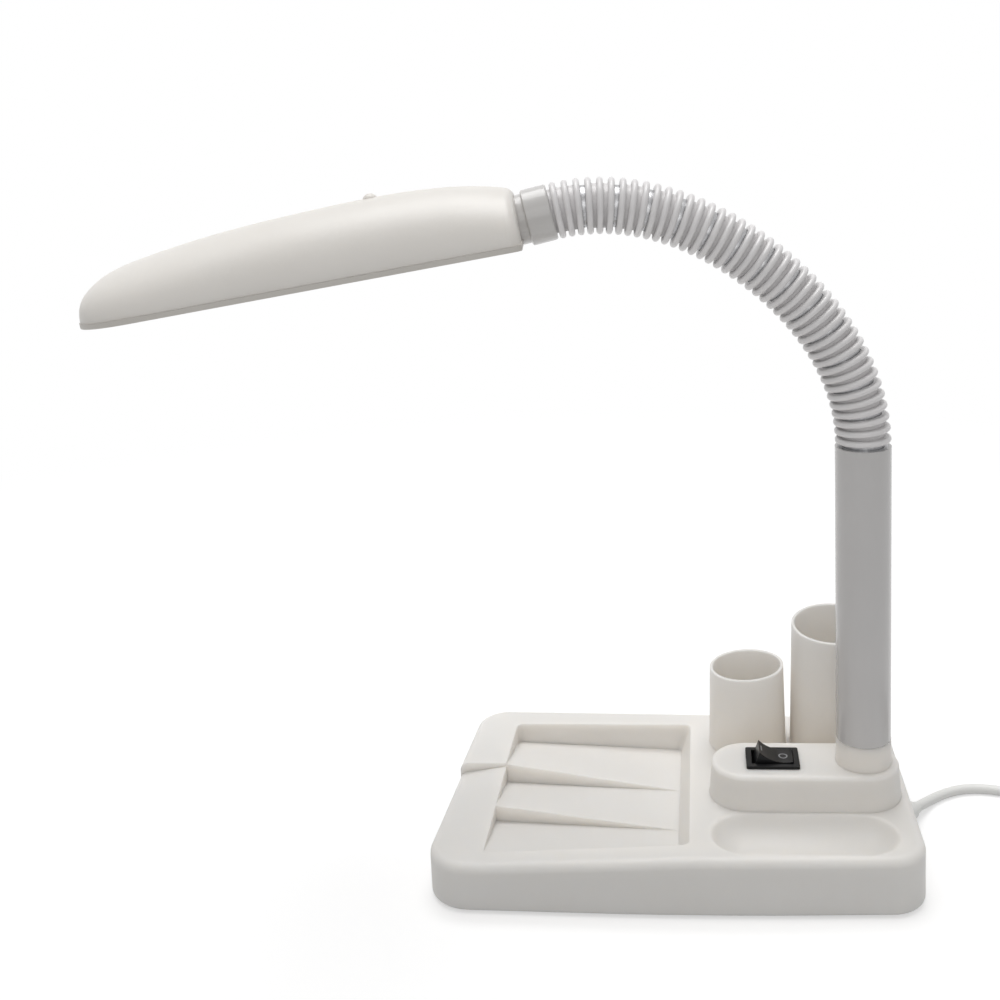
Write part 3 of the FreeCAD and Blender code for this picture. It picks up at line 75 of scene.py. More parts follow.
camera = bpy.data.objects.new("camera", bpy.data.cameras.new("camera"))
bpy.context.scene.collection.objects.link(camera)
bpy.context.scene.camera = camera
ahead = Vector((math.sin(CAMERA_TURN) * math.cos(CAMERA_TILT),
                math.cos(CAMERA_TURN) * math.cos(CAMERA_TILT), -math.sin(CAMERA_TILT)))
level = Vector((math.cos(CAMERA_TURN), -math.sin(CAMERA_TURN), 0))
overhead = level.cross(ahead)
side = level * math.cos(CAMERA_ROLL) - overhead * math.sin(CAMERA_ROLL)
top = level * math.sin(CAMERA_ROLL) + overhead * math.cos(CAMERA_ROLL)
camera.matrix_world = Matrix.Translation(CAMERA_PLACE) @ Matrix((side, top, -ahead)).transposed().to_4x4()
camera.data.sensor_width = 36.0
camera.data.lens = 43.668
camera.data.shift_x, camera.data.shift_y = -0.12022, -0.20426
camera.data.clip_start, camera.data.clip_end = 0.01, 50.0
print("camera at", tuple(round(v, 4) for v in camera.location), "lens", camera.data.lens)

# %% [markdown]
# ## The cord
# The cord is a soft 4 mm lead.  It leaves the base through a grip low in the right wall, sinks to
# the table and swings round to a neat coil that holds the length nobody needs, with its plug
# beside it.  A flexible lead has no corners, so its line is one NURBS curve through the air and
# over the table, and the turns of the coil are more points of that same curve.  It is wound as
# one winds a lead by hand: a flat spiral inwards, a short climb at the middle, and a second
# spiral outwards on top of the first.  A spiral a diameter wide per turn keeps neighbours just
# touching, and it never bends sharper than its innermost turn.

# %% Draw the cord's line
CORD_DIAMETER = 0.004
CORD_ROUTE = [(0.0220, 0.0172, 0.0052), (0.0258, 0.0218, 0.0042), (0.0316, 0.0299, 0.0020), (0.0395, 0.0359, 0.0020),
              (0.0486, 0.0395, 0.0020), (0.0588, 0.0392, 0.0020), (0.0680, 0.0362, 0.0020), (0.0770, 0.0346, 0.0020)]
COIL_CENTRE = Vector((0.1000, 0.0080, 0.0))
COIL_OUTER = 0.0290
TURN_PITCH = 0.00405
COIL_JOIN = math.radians(112.0)
COIL_LEAVE = math.radians(0.0)
COIL_TURNS = 6 + (COIL_JOIN - COIL_LEAVE) / (2 * math.pi)
POINTS_PER_TURN = 16
TURN_POINT_GROWTH = 1.0 / (0.75 + 0.25 * math.cos(2 * math.pi / POINTS_PER_TURN))
CLIMB_TURNS = 0.24


def smooth_step(value, start, end):
    """Rises smoothly from 0 at start to 1 at end."""
    share = min(max((value - start) / (end - start), 0.0), 1.0)
    return share * share * (3.0 - 2.0 * share)


def coil_point(turn):
    """Point on the coil's wound line after that many turns, clockwise as seen from above."""
    middle = COIL_TURNS / 2
    from_middle = math.sqrt((turn - middle) ** 2 + 0.1 ** 2) - 0.1
    radius = (COIL_OUTER - TURN_PITCH * (middle - from_middle)) * TURN_POINT_GROWTH
    climb = smooth_step(turn, middle - CLIMB_TURNS / 2, middle + CLIMB_TURNS / 2)
    angle = COIL_JOIN - 2 * math.pi * turn
    height = CORD_DIAMETER / 2 + TURN_PITCH * climb
    return COIL_CENTRE + Vector((radius * math.cos(angle), radius * math.sin(angle), height))


coil_points = [coil_point(i / POINTS_PER_TURN) for i in range(1, int(COIL_TURNS * POINTS_PER_TURN))]
leave_heading = Vector((math.sin(COIL_LEAVE), -math.cos(COIL_LEAVE), 0))
leave_side = COIL_CENTRE + Vector((math.cos(COIL_LEAVE), math.sin(COIL_LEAVE), 0)) * COIL_OUTER
PLUG_ALONG = 0.0230
tail_points = [leave_side + leave_heading * reach + Vector((0, 0, height))
               for reach, height in ((0.000, 0.00605), (0.005, 0.0060), (0.011, 0.0048), (0.016, 0.0040),
                                     (PLUG_ALONG, 0.0040), (PLUG_ALONG + 0.006, 0.0040))]
line_points = [Vector(p) for p in CORD_ROUTE] + coil_points + tail_points

cord_data = bpy.data.curves.new("power_lead", "CURVE")
cord_data.dimensions = "3D"
spline = cord_data.splines.new("NURBS")
spline.points.add(len(line_points) - 1)
for point, place in zip(spline.points, line_points):
    point.co = (*(COLUMN_AXIS + place), 1.0)
    point.radius = CORD_DIAMETER / 2
spline.order_u = 3
spline.use_endpoint_u = True
spline.resolution_u = 6
cord_data.bevel_depth = 1.0     # the points' radii carry the thickness
cord_data.bevel_resolution = 5
cord_data.use_fill_caps = True
power_lead = bpy.data.objects.new("power_lead", cord_data)
bpy.context.scene.collection.objects.link(power_lead)
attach(power_lead, "base")
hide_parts("power_cord", "cord_coil", "cord_tail")


def line_length(curve_data):
    """Length of a curve's own line, from a copy without its thickness."""
    bare = curve_data.copy()
    bare.bevel_depth = 0.0
    holder = bpy.data.objects.new("bare", bare)
    mesh = bpy.data.meshes.new_from_object(holder)
    length = sum((mesh.vertices[a].co - mesh.vertices[b].co).length for a, b in (e.vertices for e in mesh.edges))
    bpy.data.objects.remove(holder)
    bpy.data.meshes.remove(mesh)
    bpy.data.curves.remove(bare)
    return length


cord_length = line_length(cord_data)
print("cord", round(cord_length, 3), "m, points", len(line_points), "turns", round(COIL_TURNS, 2))

# %% [markdown]
# ## The plug
# The plug is a flat moulded grip with a thin plated shell in front of it.  The moulding starts as
# a box that is beveled all round, then a few ribs are pressed into its two broad faces where the
# fingers hold it.  It is modelled lying along X with its cord end at zero, and put in its place at
# the very end, so that every edit is easy to read.

# %% Tools for modelling
def begin():
    """Leave nothing selected, so that the next operator sees only what it adds."""
    if bpy.context.object and bpy.context.object.mode != "OBJECT":
        bpy.ops.object.mode_set(mode="OBJECT")
    bpy.ops.object.select_all(action="DESELECT")


def settle(piece, name, body, matrix=Matrix.Identity(4)):
    """Name a piece, put its place into its mesh and let it ride on a body of the lamp."""
    if piece.mode != "OBJECT":
        bpy.ops.object.mode_set(mode="OBJECT")
    piece.name = piece.data.name = name
    piece.data.transform(matrix @ piece.matrix_world)
    piece.matrix_world = Matrix.Identity(4)
    piece.data.update()
    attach(piece, body)
    return piece


def select_faces(piece, wanted):
    """In edit mode, select the faces whose centre and normal pass the wanted test."""
    bpy.ops.object.mode_set(mode="OBJECT")
    for vertex in piece.data.vertices:
        vertex.select = False
    for edge in piece.data.edges:
        edge.select = False
    count = 0
    for face in piece.data.polygons:
        face.select = wanted(face.center, face.normal)
        count += face.select
    bpy.ops.object.mode_set(mode="EDIT")
    bpy.ops.mesh.select_mode(type="FACE")
    return count


def select_edges(piece, wanted):
    """In edit mode, select the edges whose two ends pass the wanted test."""
    bpy.ops.object.mode_set(mode="OBJECT")
    vertices = piece.data.vertices
    for face in piece.data.polygons:
        face.select = False
    for vertex in vertices:
        vertex.select = False
    count = 0
    for edge in piece.data.edges:
        edge.select = wanted(vertices[edge.vertices[0]].co, vertices[edge.vertices[1]].co)
        count += edge.select
    bpy.ops.object.mode_set(mode="EDIT")
    bpy.ops.mesh.select_mode(type="EDGE")
    return count


# %% Model the plug's grip
PLUG_LENGTH, PLUG_WIDTH, PLUG_HEIGHT = 0.030, 0.0156, 0.008

begin()
bpy.ops.mesh.primitive_cube_add(size=1.0, location=(PLUG_LENGTH / 2, 0, 0),
                                scale=(PLUG_LENGTH, PLUG_WIDTH, PLUG_HEIGHT))
plug_grip = bpy.context.object
bpy.ops.object.transform_apply(location=True, rotation=False, scale=True)
rib_start, rib_pitch, rib_count = 0.0070, 0.0026, 5
bpy.ops.object.mode_set(mode="EDIT")
for i in range(rib_count + 1):
    bpy.ops.mesh.select_all(action="SELECT")
    bpy.ops.mesh.bisect(plane_co=(rib_start + rib_pitch * i, 0, 0), plane_no=(1, 0, 0))
cord_end = select_faces(plug_grip, lambda centre, normal: normal.x < -0.9)
bpy.ops.transform.resize(value=(1, 0.52, 0.86))
bpy.ops.mesh.select_all(action="SELECT")
corners = select_edges(plug_grip, lambda a, b: abs(a.x - b.x) > 1e-6 and abs(abs(a.y) - abs(b.y)) < PLUG_WIDTH * 0.3)
bpy.ops.mesh.bevel(offset=0.0022, segments=4, affect="EDGES")
broad = select_faces(plug_grip, lambda centre, normal: abs(normal.z) > 0.9 and
                     rib_start < centre.x < rib_start + rib_pitch * rib_count)
bpy.ops.mesh.inset(thickness=0.0006, depth=-0.0005, use_individual=True)
bpy.ops.object.mode_set(mode="OBJECT")
print("plug grip faces", len(plug_grip.data.polygons), "ribs", broad, "corner edges", corners, "end", cord_end)

# %% Round it off and put it in its place
soft_edges = plug_grip.modifiers.new("soft_edges", "BEVEL")
soft_edges.width, soft_edges.segments, soft_edges.limit_method = 0.0004, 2, "ANGLE"
bpy.ops.object.modifier_apply(modifier=soft_edges.name)
bpy.ops.object.shade_smooth_by_angle(angle=math.radians(40))
plug_start = COLUMN_AXIS + leave_side + leave_heading * PLUG_ALONG + Vector((0, 0, PLUG_HEIGHT / 2))
plug_turn = Matrix.Translation(plug_start) @ Matrix.Rotation(math.atan2(leave_heading.y, leave_heading.x), 4, "Z")
settle(plug_grip, "plug_grip", "base", plug_turn)
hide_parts("plug_body")
print("plug from", tuple(round(v, 4) for v in plug_start))

# %% [markdown]
# The plated shell is a folded sheet: a rectangular sleeve with two small square windows above and
# below, and a white tongue inside that carries the contacts.  A box is opened at its ends by
# deleting them, the windows are cut free by bisecting and deleting their faces, and Solidify gives
# the sheet its thickness.

# %% Model the plug's shell and tongue
SHELL_LENGTH, SHELL_WIDTH, SHELL_HEIGHT, SHEET = 0.0185, 0.0120, 0.0045, 0.0004

begin()
bpy.ops.mesh.primitive_cube_add(size=1.0, location=(PLUG_LENGTH + SHELL_LENGTH / 2, 0, 0),
                                scale=(SHELL_LENGTH, SHELL_WIDTH, SHELL_HEIGHT))
plug_sleeve = bpy.context.object
bpy.ops.object.transform_apply(location=True, rotation=False, scale=True)
window_ends = (PLUG_LENGTH + 0.0098, PLUG_LENGTH + 0.0122)
window_sides = (-0.0038, -0.0014, 0.0014, 0.0038)
bpy.ops.object.mode_set(mode="EDIT")
for x in window_ends:
    bpy.ops.mesh.select_all(action="SELECT")
    bpy.ops.mesh.bisect(plane_co=(x, 0, 0), plane_no=(1, 0, 0))
for y in window_sides:
    bpy.ops.mesh.select_all(action="SELECT")
    bpy.ops.mesh.bisect(plane_co=(0, y, 0), plane_no=(0, 1, 0))
open_end = select_faces(plug_sleeve, lambda centre, normal: abs(normal.x) > 0.9)
bpy.ops.mesh.delete(type="FACE")
windows = select_faces(plug_sleeve, lambda centre, normal: abs(normal.z) > 0.9 and
                       window_ends[0] < centre.x < window_ends[1] and window_sides[0] < centre.y < window_sides[3] and
                       abs(centre.y) > window_sides[2])
bpy.ops.mesh.delete(type="FACE")
bpy.ops.object.mode_set(mode="OBJECT")
for kind, name, settings in (("SOLIDIFY", "sheet", {"thickness": SHEET, "offset": -1.0}),
                             ("BEVEL", "folds", {"width": 0.00012, "segments": 2, "limit_method": "ANGLE"})):
    modifier = plug_sleeve.modifiers.new(name, kind)
    for key, value in settings.items():
        setattr(modifier, key, value)
    bpy.ops.object.modifier_apply(modifier=name)
bpy.ops.object.shade_smooth_by_angle(angle=math.radians(35))
settle(plug_sleeve, "plug_sleeve", "base", plug_turn)
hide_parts("plug_shell")

begin()
bpy.ops.mesh.primitive_cube_add(size=1.0, location=(PLUG_LENGTH + SHELL_LENGTH / 2 - 0.0004, 0, -0.0008),
                                scale=(SHELL_LENGTH - 0.0008, SHELL_WIDTH - 2.2 * SHEET, 0.0018))
plug_tongue = bpy.context.object
bpy.ops.object.transform_apply(location=True, rotation=False, scale=True)
bpy.ops.object.mode_set(mode="EDIT")
nose = select_edges(plug_tongue, lambda a, b: a.x > PLUG_LENGTH + 0.01 and b.x > PLUG_LENGTH + 0.01)
bpy.ops.mesh.bevel(offset=0.0003, segments=2, affect="EDGES")
settle(plug_tongue, "plug_tongue", "base", plug_turn)
print("sleeve faces", len(plug_sleeve.data.polygons), "windows", windows, "ends", open_end, "tongue edges", nose)

# %% [markdown]
# A twist tie keeps the coil together.  It is a flat plastic-covered wire round the coil's ring, so its
# cross-section goes once round the turns side by side and their two layers.  A closed ring of
# points with the shape of that section is extruded into a narrow band, rounded and thickened.

# %% Model the tie round the coil
ring_middle = COIL_OUTER - 0.5 * TURN_PITCH * COIL_TURNS / 2
ring_half = 0.5 * TURN_PITCH * COIL_TURNS / 2 + CORD_DIAMETER / 2 + 0.0007
ring_top = CORD_DIAMETER + TURN_PITCH + 0.0006
tie_turn = math.radians(-52.0)
tie_out = Vector((math.cos(tie_turn), math.sin(tie_turn), 0))
tie_along = Vector((-math.sin(tie_turn), math.cos(tie_turn), 0))
tie_centre = COLUMN_AXIS + COIL_CENTRE + tie_out * ring_middle
band_section = [(-ring_half, 0.0014), (-ring_half * 0.98, ring_top * 0.55), (-ring_half * 0.86, ring_top),
                (0.0, ring_top + 0.0002), (ring_half * 0.86, ring_top), (ring_half * 0.98, ring_top * 0.55),
                (ring_half, 0.0014), (ring_half * 0.9, 0.0007), (0.0, 0.0006), (-ring_half * 0.9, 0.0007)]

begin()
bpy.ops.mesh.primitive_circle_add(vertices=len(band_section), radius=0.01, fill_type="NOTHING", location=(0, 0, 0))
coil_tie = bpy.context.object
for vertex, (out, height) in zip(coil_tie.data.vertices, band_section):
    vertex.co = tie_centre + tie_out * out + Vector((0, 0, height)) - tie_along * 0.0011
bpy.ops.object.mode_set(mode="EDIT")
bpy.ops.mesh.select_all(action="SELECT")
bpy.ops.mesh.extrude_region_move(TRANSFORM_OT_translate={"value": tuple(tie_along * 0.0022)})
bpy.ops.mesh.select_all(action="SELECT")
bpy.ops.mesh.normals_make_consistent(inside=False)
bpy.ops.object.mode_set(mode="OBJECT")
for kind, name, settings in (("SUBSURF", "round", {"levels": 2, "render_levels": 2}),
                             ("SOLIDIFY", "sheath", {"thickness": 0.0005, "offset": 1.0}),
                             ("BEVEL", "soft", {"width": 0.00015, "segments": 2, "limit_method": "ANGLE"})):
    modifier = coil_tie.modifiers.new(name, kind)
    for key, value in settings.items():
        setattr(modifier, key, value)
    bpy.ops.object.modifier_apply(modifier=name)
bpy.ops.object.shade_smooth_by_angle(angle=math.radians(35))
settle(coil_tie, "coil_tie", "base")
print("tie faces", len(coil_tie.data.polygons))

# %% [markdown]
# ## The marks on the switch
# The rocker carries a dash for on and a ring for off, printed in thin light ink on its hollow top.
# Printed ink has almost no thickness, so the dash is a strip and the ring a flat band that follow
# the hollow, a twenty-fifth of a millimetre above it.  The rocker leans, so the marks are placed by
# casting a ray on it from above.

# %% Model the switch's marks
def surface_under(node, x, y):
    """Point on a node straight below (x, y)."""
    mesh_object = nodes[node]
    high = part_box(node)[1][2] + 0.01
    hit, place, normal, index = mesh_object.ray_cast(Vector((x, y, high)), Vector((0, 0, -1)))
    if not hit:
        raise ValueError("nothing of %s under %.4f %.4f" % (node, x, y))
    return place, normal


rocker_low, rocker_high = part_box("switch_rocker")
rocker_y = (rocker_low[1] + rocker_high[1]) / 2
rocker_x = (rocker_low[0] + rocker_high[0]) / 2
MARK_LIFT = 0.00004
DASH_OUT, DASH_WIDTH, DASH_LENGTH = 0.0044, 0.00055, 0.0036
RING_OUT, RING_RADIUS, RING_GROWTH = 0.0042, 0.0013, 1.42

begin()
bpy.ops.mesh.primitive_grid_add(x_subdivisions=2, y_subdivisions=8, size=1.0, location=(0, 0, 0))
mark_on = bpy.context.object
for vertex in mark_on.data.vertices:
    place, normal = surface_under("switch_rocker", rocker_x - DASH_OUT + vertex.co.x * DASH_WIDTH,
                                  rocker_y + vertex.co.y * DASH_LENGTH)
    vertex.co = place + normal * MARK_LIFT
settle(mark_on, "switch_mark_on", "rocker")

begin()
bpy.ops.mesh.primitive_circle_add(vertices=40, radius=RING_RADIUS, fill_type="NOTHING", location=(0, 0, 0))
mark_off = bpy.context.object
bpy.ops.object.mode_set(mode="EDIT")
bpy.ops.mesh.select_all(action="SELECT")
bpy.ops.mesh.extrude_edges_move()
bpy.ops.transform.resize(value=(RING_GROWTH, RING_GROWTH, 1.0))
bpy.ops.mesh.select_all(action="SELECT")
bpy.ops.mesh.normals_make_consistent(inside=False)
bpy.ops.object.mode_set(mode="OBJECT")
for vertex in mark_off.data.vertices:
    place, normal = surface_under("switch_rocker", rocker_x + RING_OUT + vertex.co.x, rocker_y + vertex.co.y)
    vertex.co = place + normal * MARK_LIFT
settle(mark_off, "switch_mark_off", "rocker")
for mark in (mark_on, mark_off):
    upward = sum(face.normal.z for face in mark.data.polygons)
    if upward < 0:
        mark.data.flip_normals()
print("marks", len(mark_on.data.polygons), len(mark_off.data.polygons))

# %% [markdown]
# ## Colours and nodes
# Colours are written as sRGB hex values, as a paint chart gives them, and turned to the linear
# values that the shader works in.  One helper adds a node to a material, with its settings and
# its inputs, where an input may be a number, a colour or another node's output.

# %% Helpers for materials
def colour(hex_value):
    """Linear colour from an sRGB hex value."""
    channels = [int(hex_value[i:i + 2], 16) / 255.0 for i in (1, 3, 5)]
    return tuple(c / 12.92 if c <= 0.04045 else ((c + 0.055) / 1.055) ** 2.4 for c in channels) + (1.0,)


def add_node(material, kind, settings=None, inputs=None):
    """Add a node with its settings and its inputs, which are constants or other nodes' outputs."""
    node = material.node_tree.nodes.new(kind)
    for key, value in (settings or {}).items():
        setattr(node, key, value)
    for key, value in (inputs or {}).items():
        if isinstance(value, bpy.types.NodeSocket):
            material.node_tree.links.new(value, node.inputs[key])
        else:
            node.inputs[key].default_value = value
    return node


def new_material(name):
    """Empty node material with its output node."""
    material = bpy.data.materials.new(name)
    material.use_nodes = True
    material.node_tree.nodes.clear()
    return material, add_node(material, "ShaderNodeOutputMaterial")


def give(material, *names):
    """Give a material to nodes of the lamp or to new pieces."""
    for name in names:
        piece = nodes[name] if name in nodes else bpy.data.objects[name]
        if len(piece.data.materials) == 0:
            piece.data.materials.append(material)
        for i in range(len(piece.data.materials)):
            piece.data.materials[i] = material


# %% [markdown]
# ## Moulded plastic
# The base is injection-moulded ABS.  Its mould was sparked, which leaves a fine even grain of
# pits about half a millimetre apart, so it looks satin and hides scratches.  Light sinks some
# millimetres into white ABS and comes out beside where it went in, so the thin walls of the cups
# and the edges glow a little (that is what sink sets, and it is strongest for the base).  There
# are faint cloudy changes of tone where the melt flowed.  Edges are rounded a little in the
# shading, which the Bevel node gives.  One function makes every
# moulded finish of the lamp, because they differ only in tone, gloss and grain.

# %% A function for moulded plastic
def moulded(name, tone, cloud_tone, roughness, grain_mm, grain_depth_mm,
            edge_mm=0.35, coat=0.0, sink=0.0, shine=0.5):
    """Satin plastic with clouded tone, a sparked grain and softened edges."""
    material, output = new_material(name)
    place = add_node(material, "ShaderNodeTexCoord").outputs["Object"]
    clouds = add_node(material, "ShaderNodeTexNoise", {"noise_dimensions": "3D"},
                      {"Vector": place, "Scale": 1000.0 / 45.0, "Detail": 3.0, "Roughness": 0.55})
    mottle = add_node(material, "ShaderNodeMix", {"data_type": "RGBA"},
                      {"Factor": clouds.outputs["Fac"], "A": colour(tone), "B": colour(cloud_tone)})
    grain = add_node(material, "ShaderNodeTexNoise", {"noise_dimensions": "3D"},
                     {"Vector": place, "Scale": 1000.0 / grain_mm, "Detail": 2.0, "Roughness": 0.5})
    gloss = add_node(material, "ShaderNodeMapRange", None,
                     {"Value": clouds.outputs["Fac"], "From Min": 0.3, "From Max": 0.7,
                      "To Min": roughness - 0.04, "To Max": roughness + 0.05})
    rounded = add_node(material, "ShaderNodeBevel", {"samples": 4}, {"Radius": edge_mm * MM})
    pits = add_node(material, "ShaderNodeBump", None,
                    {"Strength": 1.0, "Distance": grain_depth_mm * MM, "Height": grain.outputs["Fac"],
                     "Normal": rounded.outputs["Normal"]})
    surface = add_node(material, "ShaderNodeBsdfPrincipled", None,
                       {"Base Color": mottle.outputs["Result"], "Roughness": gloss.outputs["Result"],
                        "IOR": 1.53, "Specular IOR Level": shine, "Coat Weight": coat, "Coat Roughness": 0.12,
                        "Subsurface Weight": sink, "Subsurface Radius": (1.0, 0.95, 0.88),
                        "Subsurface Scale": 6.0 * MM, "Normal": pits.outputs["Normal"]})
    material.node_tree.links.new(surface.outputs["BSDF"], output.inputs["Surface"])
    return material


# %% Base, head and covers
base_abs = moulded("base_sparked_abs", "#f1ece6", "#ebe6df", 0.46, 0.45, 0.012, edge_mm=0.8, sink=0.85)
head_abs = moulded("head_satin_abs", "#eae6e0", "#e4dfd8", 0.40, 0.60, 0.006, sink=0.25)
frame_abs = moulded("frame_satin_abs", "#cfcbc5", "#c5c1ba", 0.42, 0.60, 0.006)
cover_abs = moulded("cover_matte_abs", "#d0ccc4", "#c6c2ba", 0.60, 0.50, 0.016)
give(base_abs, "base_shell")
give(head_abs, "head_shell", "screw_cap")
give(frame_abs, "head_frame")
give(cover_abs, "base_cover")
print("moulded finishes", [m.name for m in (base_abs, head_abs, frame_abs, cover_abs)])

# %% [markdown]
# ## Painted steel
# The column is a drawn steel tube with a thick, glossy powder coat in a cool pale grey.  Powder
# coat flows out while it is baked, but never quite: it keeps a faint orange peel, waves of about
# 2 mm that make reflections tremble.  The collar and the stub are turned aluminium in the same
# paint.

# %% Column, collar and stub
def powder_coat(name, tone, cloud_tone, roughness):
    """Glossy baked paint with a faint orange peel."""
    material, output = new_material(name)
    place = add_node(material, "ShaderNodeTexCoord").outputs["Object"]
    clouds = add_node(material, "ShaderNodeTexNoise", {"noise_dimensions": "3D"},
                      {"Vector": place, "Scale": 1000.0 / 30.0, "Detail": 2.0})
    mottle = add_node(material, "ShaderNodeMix", {"data_type": "RGBA"},
                      {"Factor": clouds.outputs["Fac"], "A": colour(tone), "B": colour(cloud_tone)})
    peel = add_node(material, "ShaderNodeTexNoise", {"noise_dimensions": "3D"},
                    {"Vector": place, "Scale": 1000.0 / 2.0, "Detail": 1.0, "Roughness": 0.4})
    rounded = add_node(material, "ShaderNodeBevel", {"samples": 4}, {"Radius": 0.25 * MM})
    waves = add_node(material, "ShaderNodeBump", None,
                     {"Strength": 1.0, "Distance": 0.012 * MM, "Height": peel.outputs["Fac"],
                      "Normal": rounded.outputs["Normal"]})
    gloss = add_node(material, "ShaderNodeMapRange", None,
                     {"Value": clouds.outputs["Fac"], "To Min": roughness - 0.03, "To Max": roughness + 0.04})
    surface = add_node(material, "ShaderNodeBsdfPrincipled", None,
                       {"Base Color": mottle.outputs["Result"], "Roughness": gloss.outputs["Result"], "IOR": 1.5,
                        "Coat Weight": 0.35, "Coat Roughness": 0.08, "Normal": waves.outputs["Normal"]})
    material.node_tree.links.new(surface.outputs["BSDF"], output.inputs["Surface"])
    return material


column_paint = powder_coat("column_powder_coat", "#c6c4c3", "#c1bfbe", 0.24)
collar_paint = powder_coat("collar_powder_coat", "#c9c7c5", "#c2c0be", 0.30)
give(column_paint, "column_tube")
give(collar_paint, "neck_collar", "neck_stub")
print("painted", column_paint.name, collar_paint.name)

# %% [markdown]
# ## The gooseneck's sleeve
# The ribbed sleeve is a soft polyethylene moulding, cool white and rather glossy on the crowns of
# the ribs, where it was handled, and duller down in the grooves, whose colour is also darkened as
# painted shade.  How deep a point lies in a groove is found with ambient occlusion over a
# millimetre and a half.

# %% Sleeve sections
sleeve_pe, sleeve_output = new_material("sleeve_polyethylene")
sleeve_place = add_node(sleeve_pe, "ShaderNodeTexCoord").outputs["Object"]
sleeve_clouds = add_node(sleeve_pe, "ShaderNodeTexNoise", {"noise_dimensions": "3D"},
                         {"Vector": sleeve_place, "Scale": 1000.0 / 18.0, "Detail": 2.0})
sleeve_tone = add_node(sleeve_pe, "ShaderNodeMix", {"data_type": "RGBA"},
                       {"Factor": sleeve_clouds.outputs["Fac"], "A": colour("#e6e4e4"), "B": colour("#dfdddd")})
groove_depth = add_node(sleeve_pe, "ShaderNodeAmbientOcclusion", {"samples": 4, "only_local": True},
                        {"Distance": 1.5 * MM})
# Painted shade: the colour darkens towards #b9b7b7 where ambient occlusion finds a groove.
painted_groove_shade = add_node(sleeve_pe, "ShaderNodeMix", {"data_type": "RGBA"},
                {"Factor": groove_depth.outputs["AO"], "A": colour("#b9b7b7"), "B": sleeve_tone.outputs["Result"]})
sleeve_gloss = add_node(sleeve_pe, "ShaderNodeMapRange", None,
                        {"Value": groove_depth.outputs["AO"], "To Min": 0.55, "To Max": 0.28})
sleeve_flow = add_node(sleeve_pe, "ShaderNodeTexNoise", {"noise_dimensions": "3D"},
                       {"Vector": sleeve_place, "Scale": 1000.0 / 1.2, "Detail": 1.0})
sleeve_bump = add_node(sleeve_pe, "ShaderNodeBump", None,
                       {"Strength": 1.0, "Distance": 0.01 * MM, "Height": sleeve_flow.outputs["Fac"]})
sleeve_surface = add_node(sleeve_pe, "ShaderNodeBsdfPrincipled", None,
                          {"Base Color": painted_groove_shade.outputs["Result"], "Roughness": sleeve_gloss.outputs["Result"],
                           "IOR": 1.51, "Normal": sleeve_bump.outputs["Normal"]})
sleeve_pe.node_tree.links.new(sleeve_surface.outputs["BSDF"], sleeve_output.inputs["Surface"])
give(sleeve_pe, *[name for name in nodes if name.startswith("gooseneck_sleeve")])
print("sleeve sections", sum(name.startswith("gooseneck_sleeve") for name in nodes))

# %% [markdown]
# ## Switch, rubber and cord
# The switch is deep black nylon with little shine: its bezel keeps the mould's fine matt grain,
# and the rocker is a little smoother where fingers press it.  The marks are light grey ink.  The feet are pale soft
# rubber.  The cord's sheath is extruded PVC, which leaves long faint waves along it and a silky
# shine.

# %% Black, rubber and PVC
switch_nylon = moulded("switch_black_nylon", "#0d0d0e", "#121214", 0.40, 0.30, 0.010, edge_mm=0.25, shine=0.2)
rocker_nylon = moulded("rocker_black_nylon", "#0b0b0c", "#101012", 0.30, 0.40, 0.004,
                       edge_mm=0.3, coat=0.06, shine=0.2)
mark_ink = moulded("switch_mark_ink", "#8b8b8d", "#7c7c7f", 0.5, 0.2, 0.002, edge_mm=0.01)
foot_rubber = moulded("foot_rubber", "#c9c8c3", "#bdbcb7", 0.78, 0.35, 0.02)
cord_pvc = moulded("cord_extruded_pvc", "#e9e9e7", "#e1e1de", 0.42, 1.6, 0.006, edge_mm=0.05)
plug_pvc = moulded("plug_moulded_pvc", "#e6e6e3", "#dcdcd8", 0.48, 0.45, 0.012)
tie_pvc = moulded("tie_black_pvc", "#2a2a2c", "#343437", 0.4, 0.6, 0.01, edge_mm=0.05)
tongue_plastic = moulded("tongue_white_plastic", "#ededeb", "#e2e2df", 0.4, 0.5, 0.004, edge_mm=0.05)
lead_pvc = moulded("lead_red_pvc", "#a01c18", "#8c1512", 0.4, 1.0, 0.006, edge_mm=0.05)
give(switch_nylon, "switch_housing")
give(rocker_nylon, "switch_rocker")
give(mark_ink, "switch_mark_on", "switch_mark_off")
give(foot_rubber, "rubber_feet")
give(cord_pvc, "power_lead", "power_cord", "cord_coil", "cord_tail", "cord_grip")
give(plug_pvc, "plug_grip", "plug_body")
give(tie_pvc, "coil_tie")
give(tongue_plastic, "plug_tongue")
give(lead_pvc, "base_leads", "head_leads")
print("small finishes given")

# %% [markdown]
# ## Metals
# Screws, washer, nut, rod and ballast are zinc-plated steel: a bluish bright metal with a fine
# crystalline haze.  The balls inside the neck are bare ground steel, the switch's tabs brass, and
# the plug's shell bright nickel.  Metals keep the default IOR, and their tone is the colour of
# their reflection.

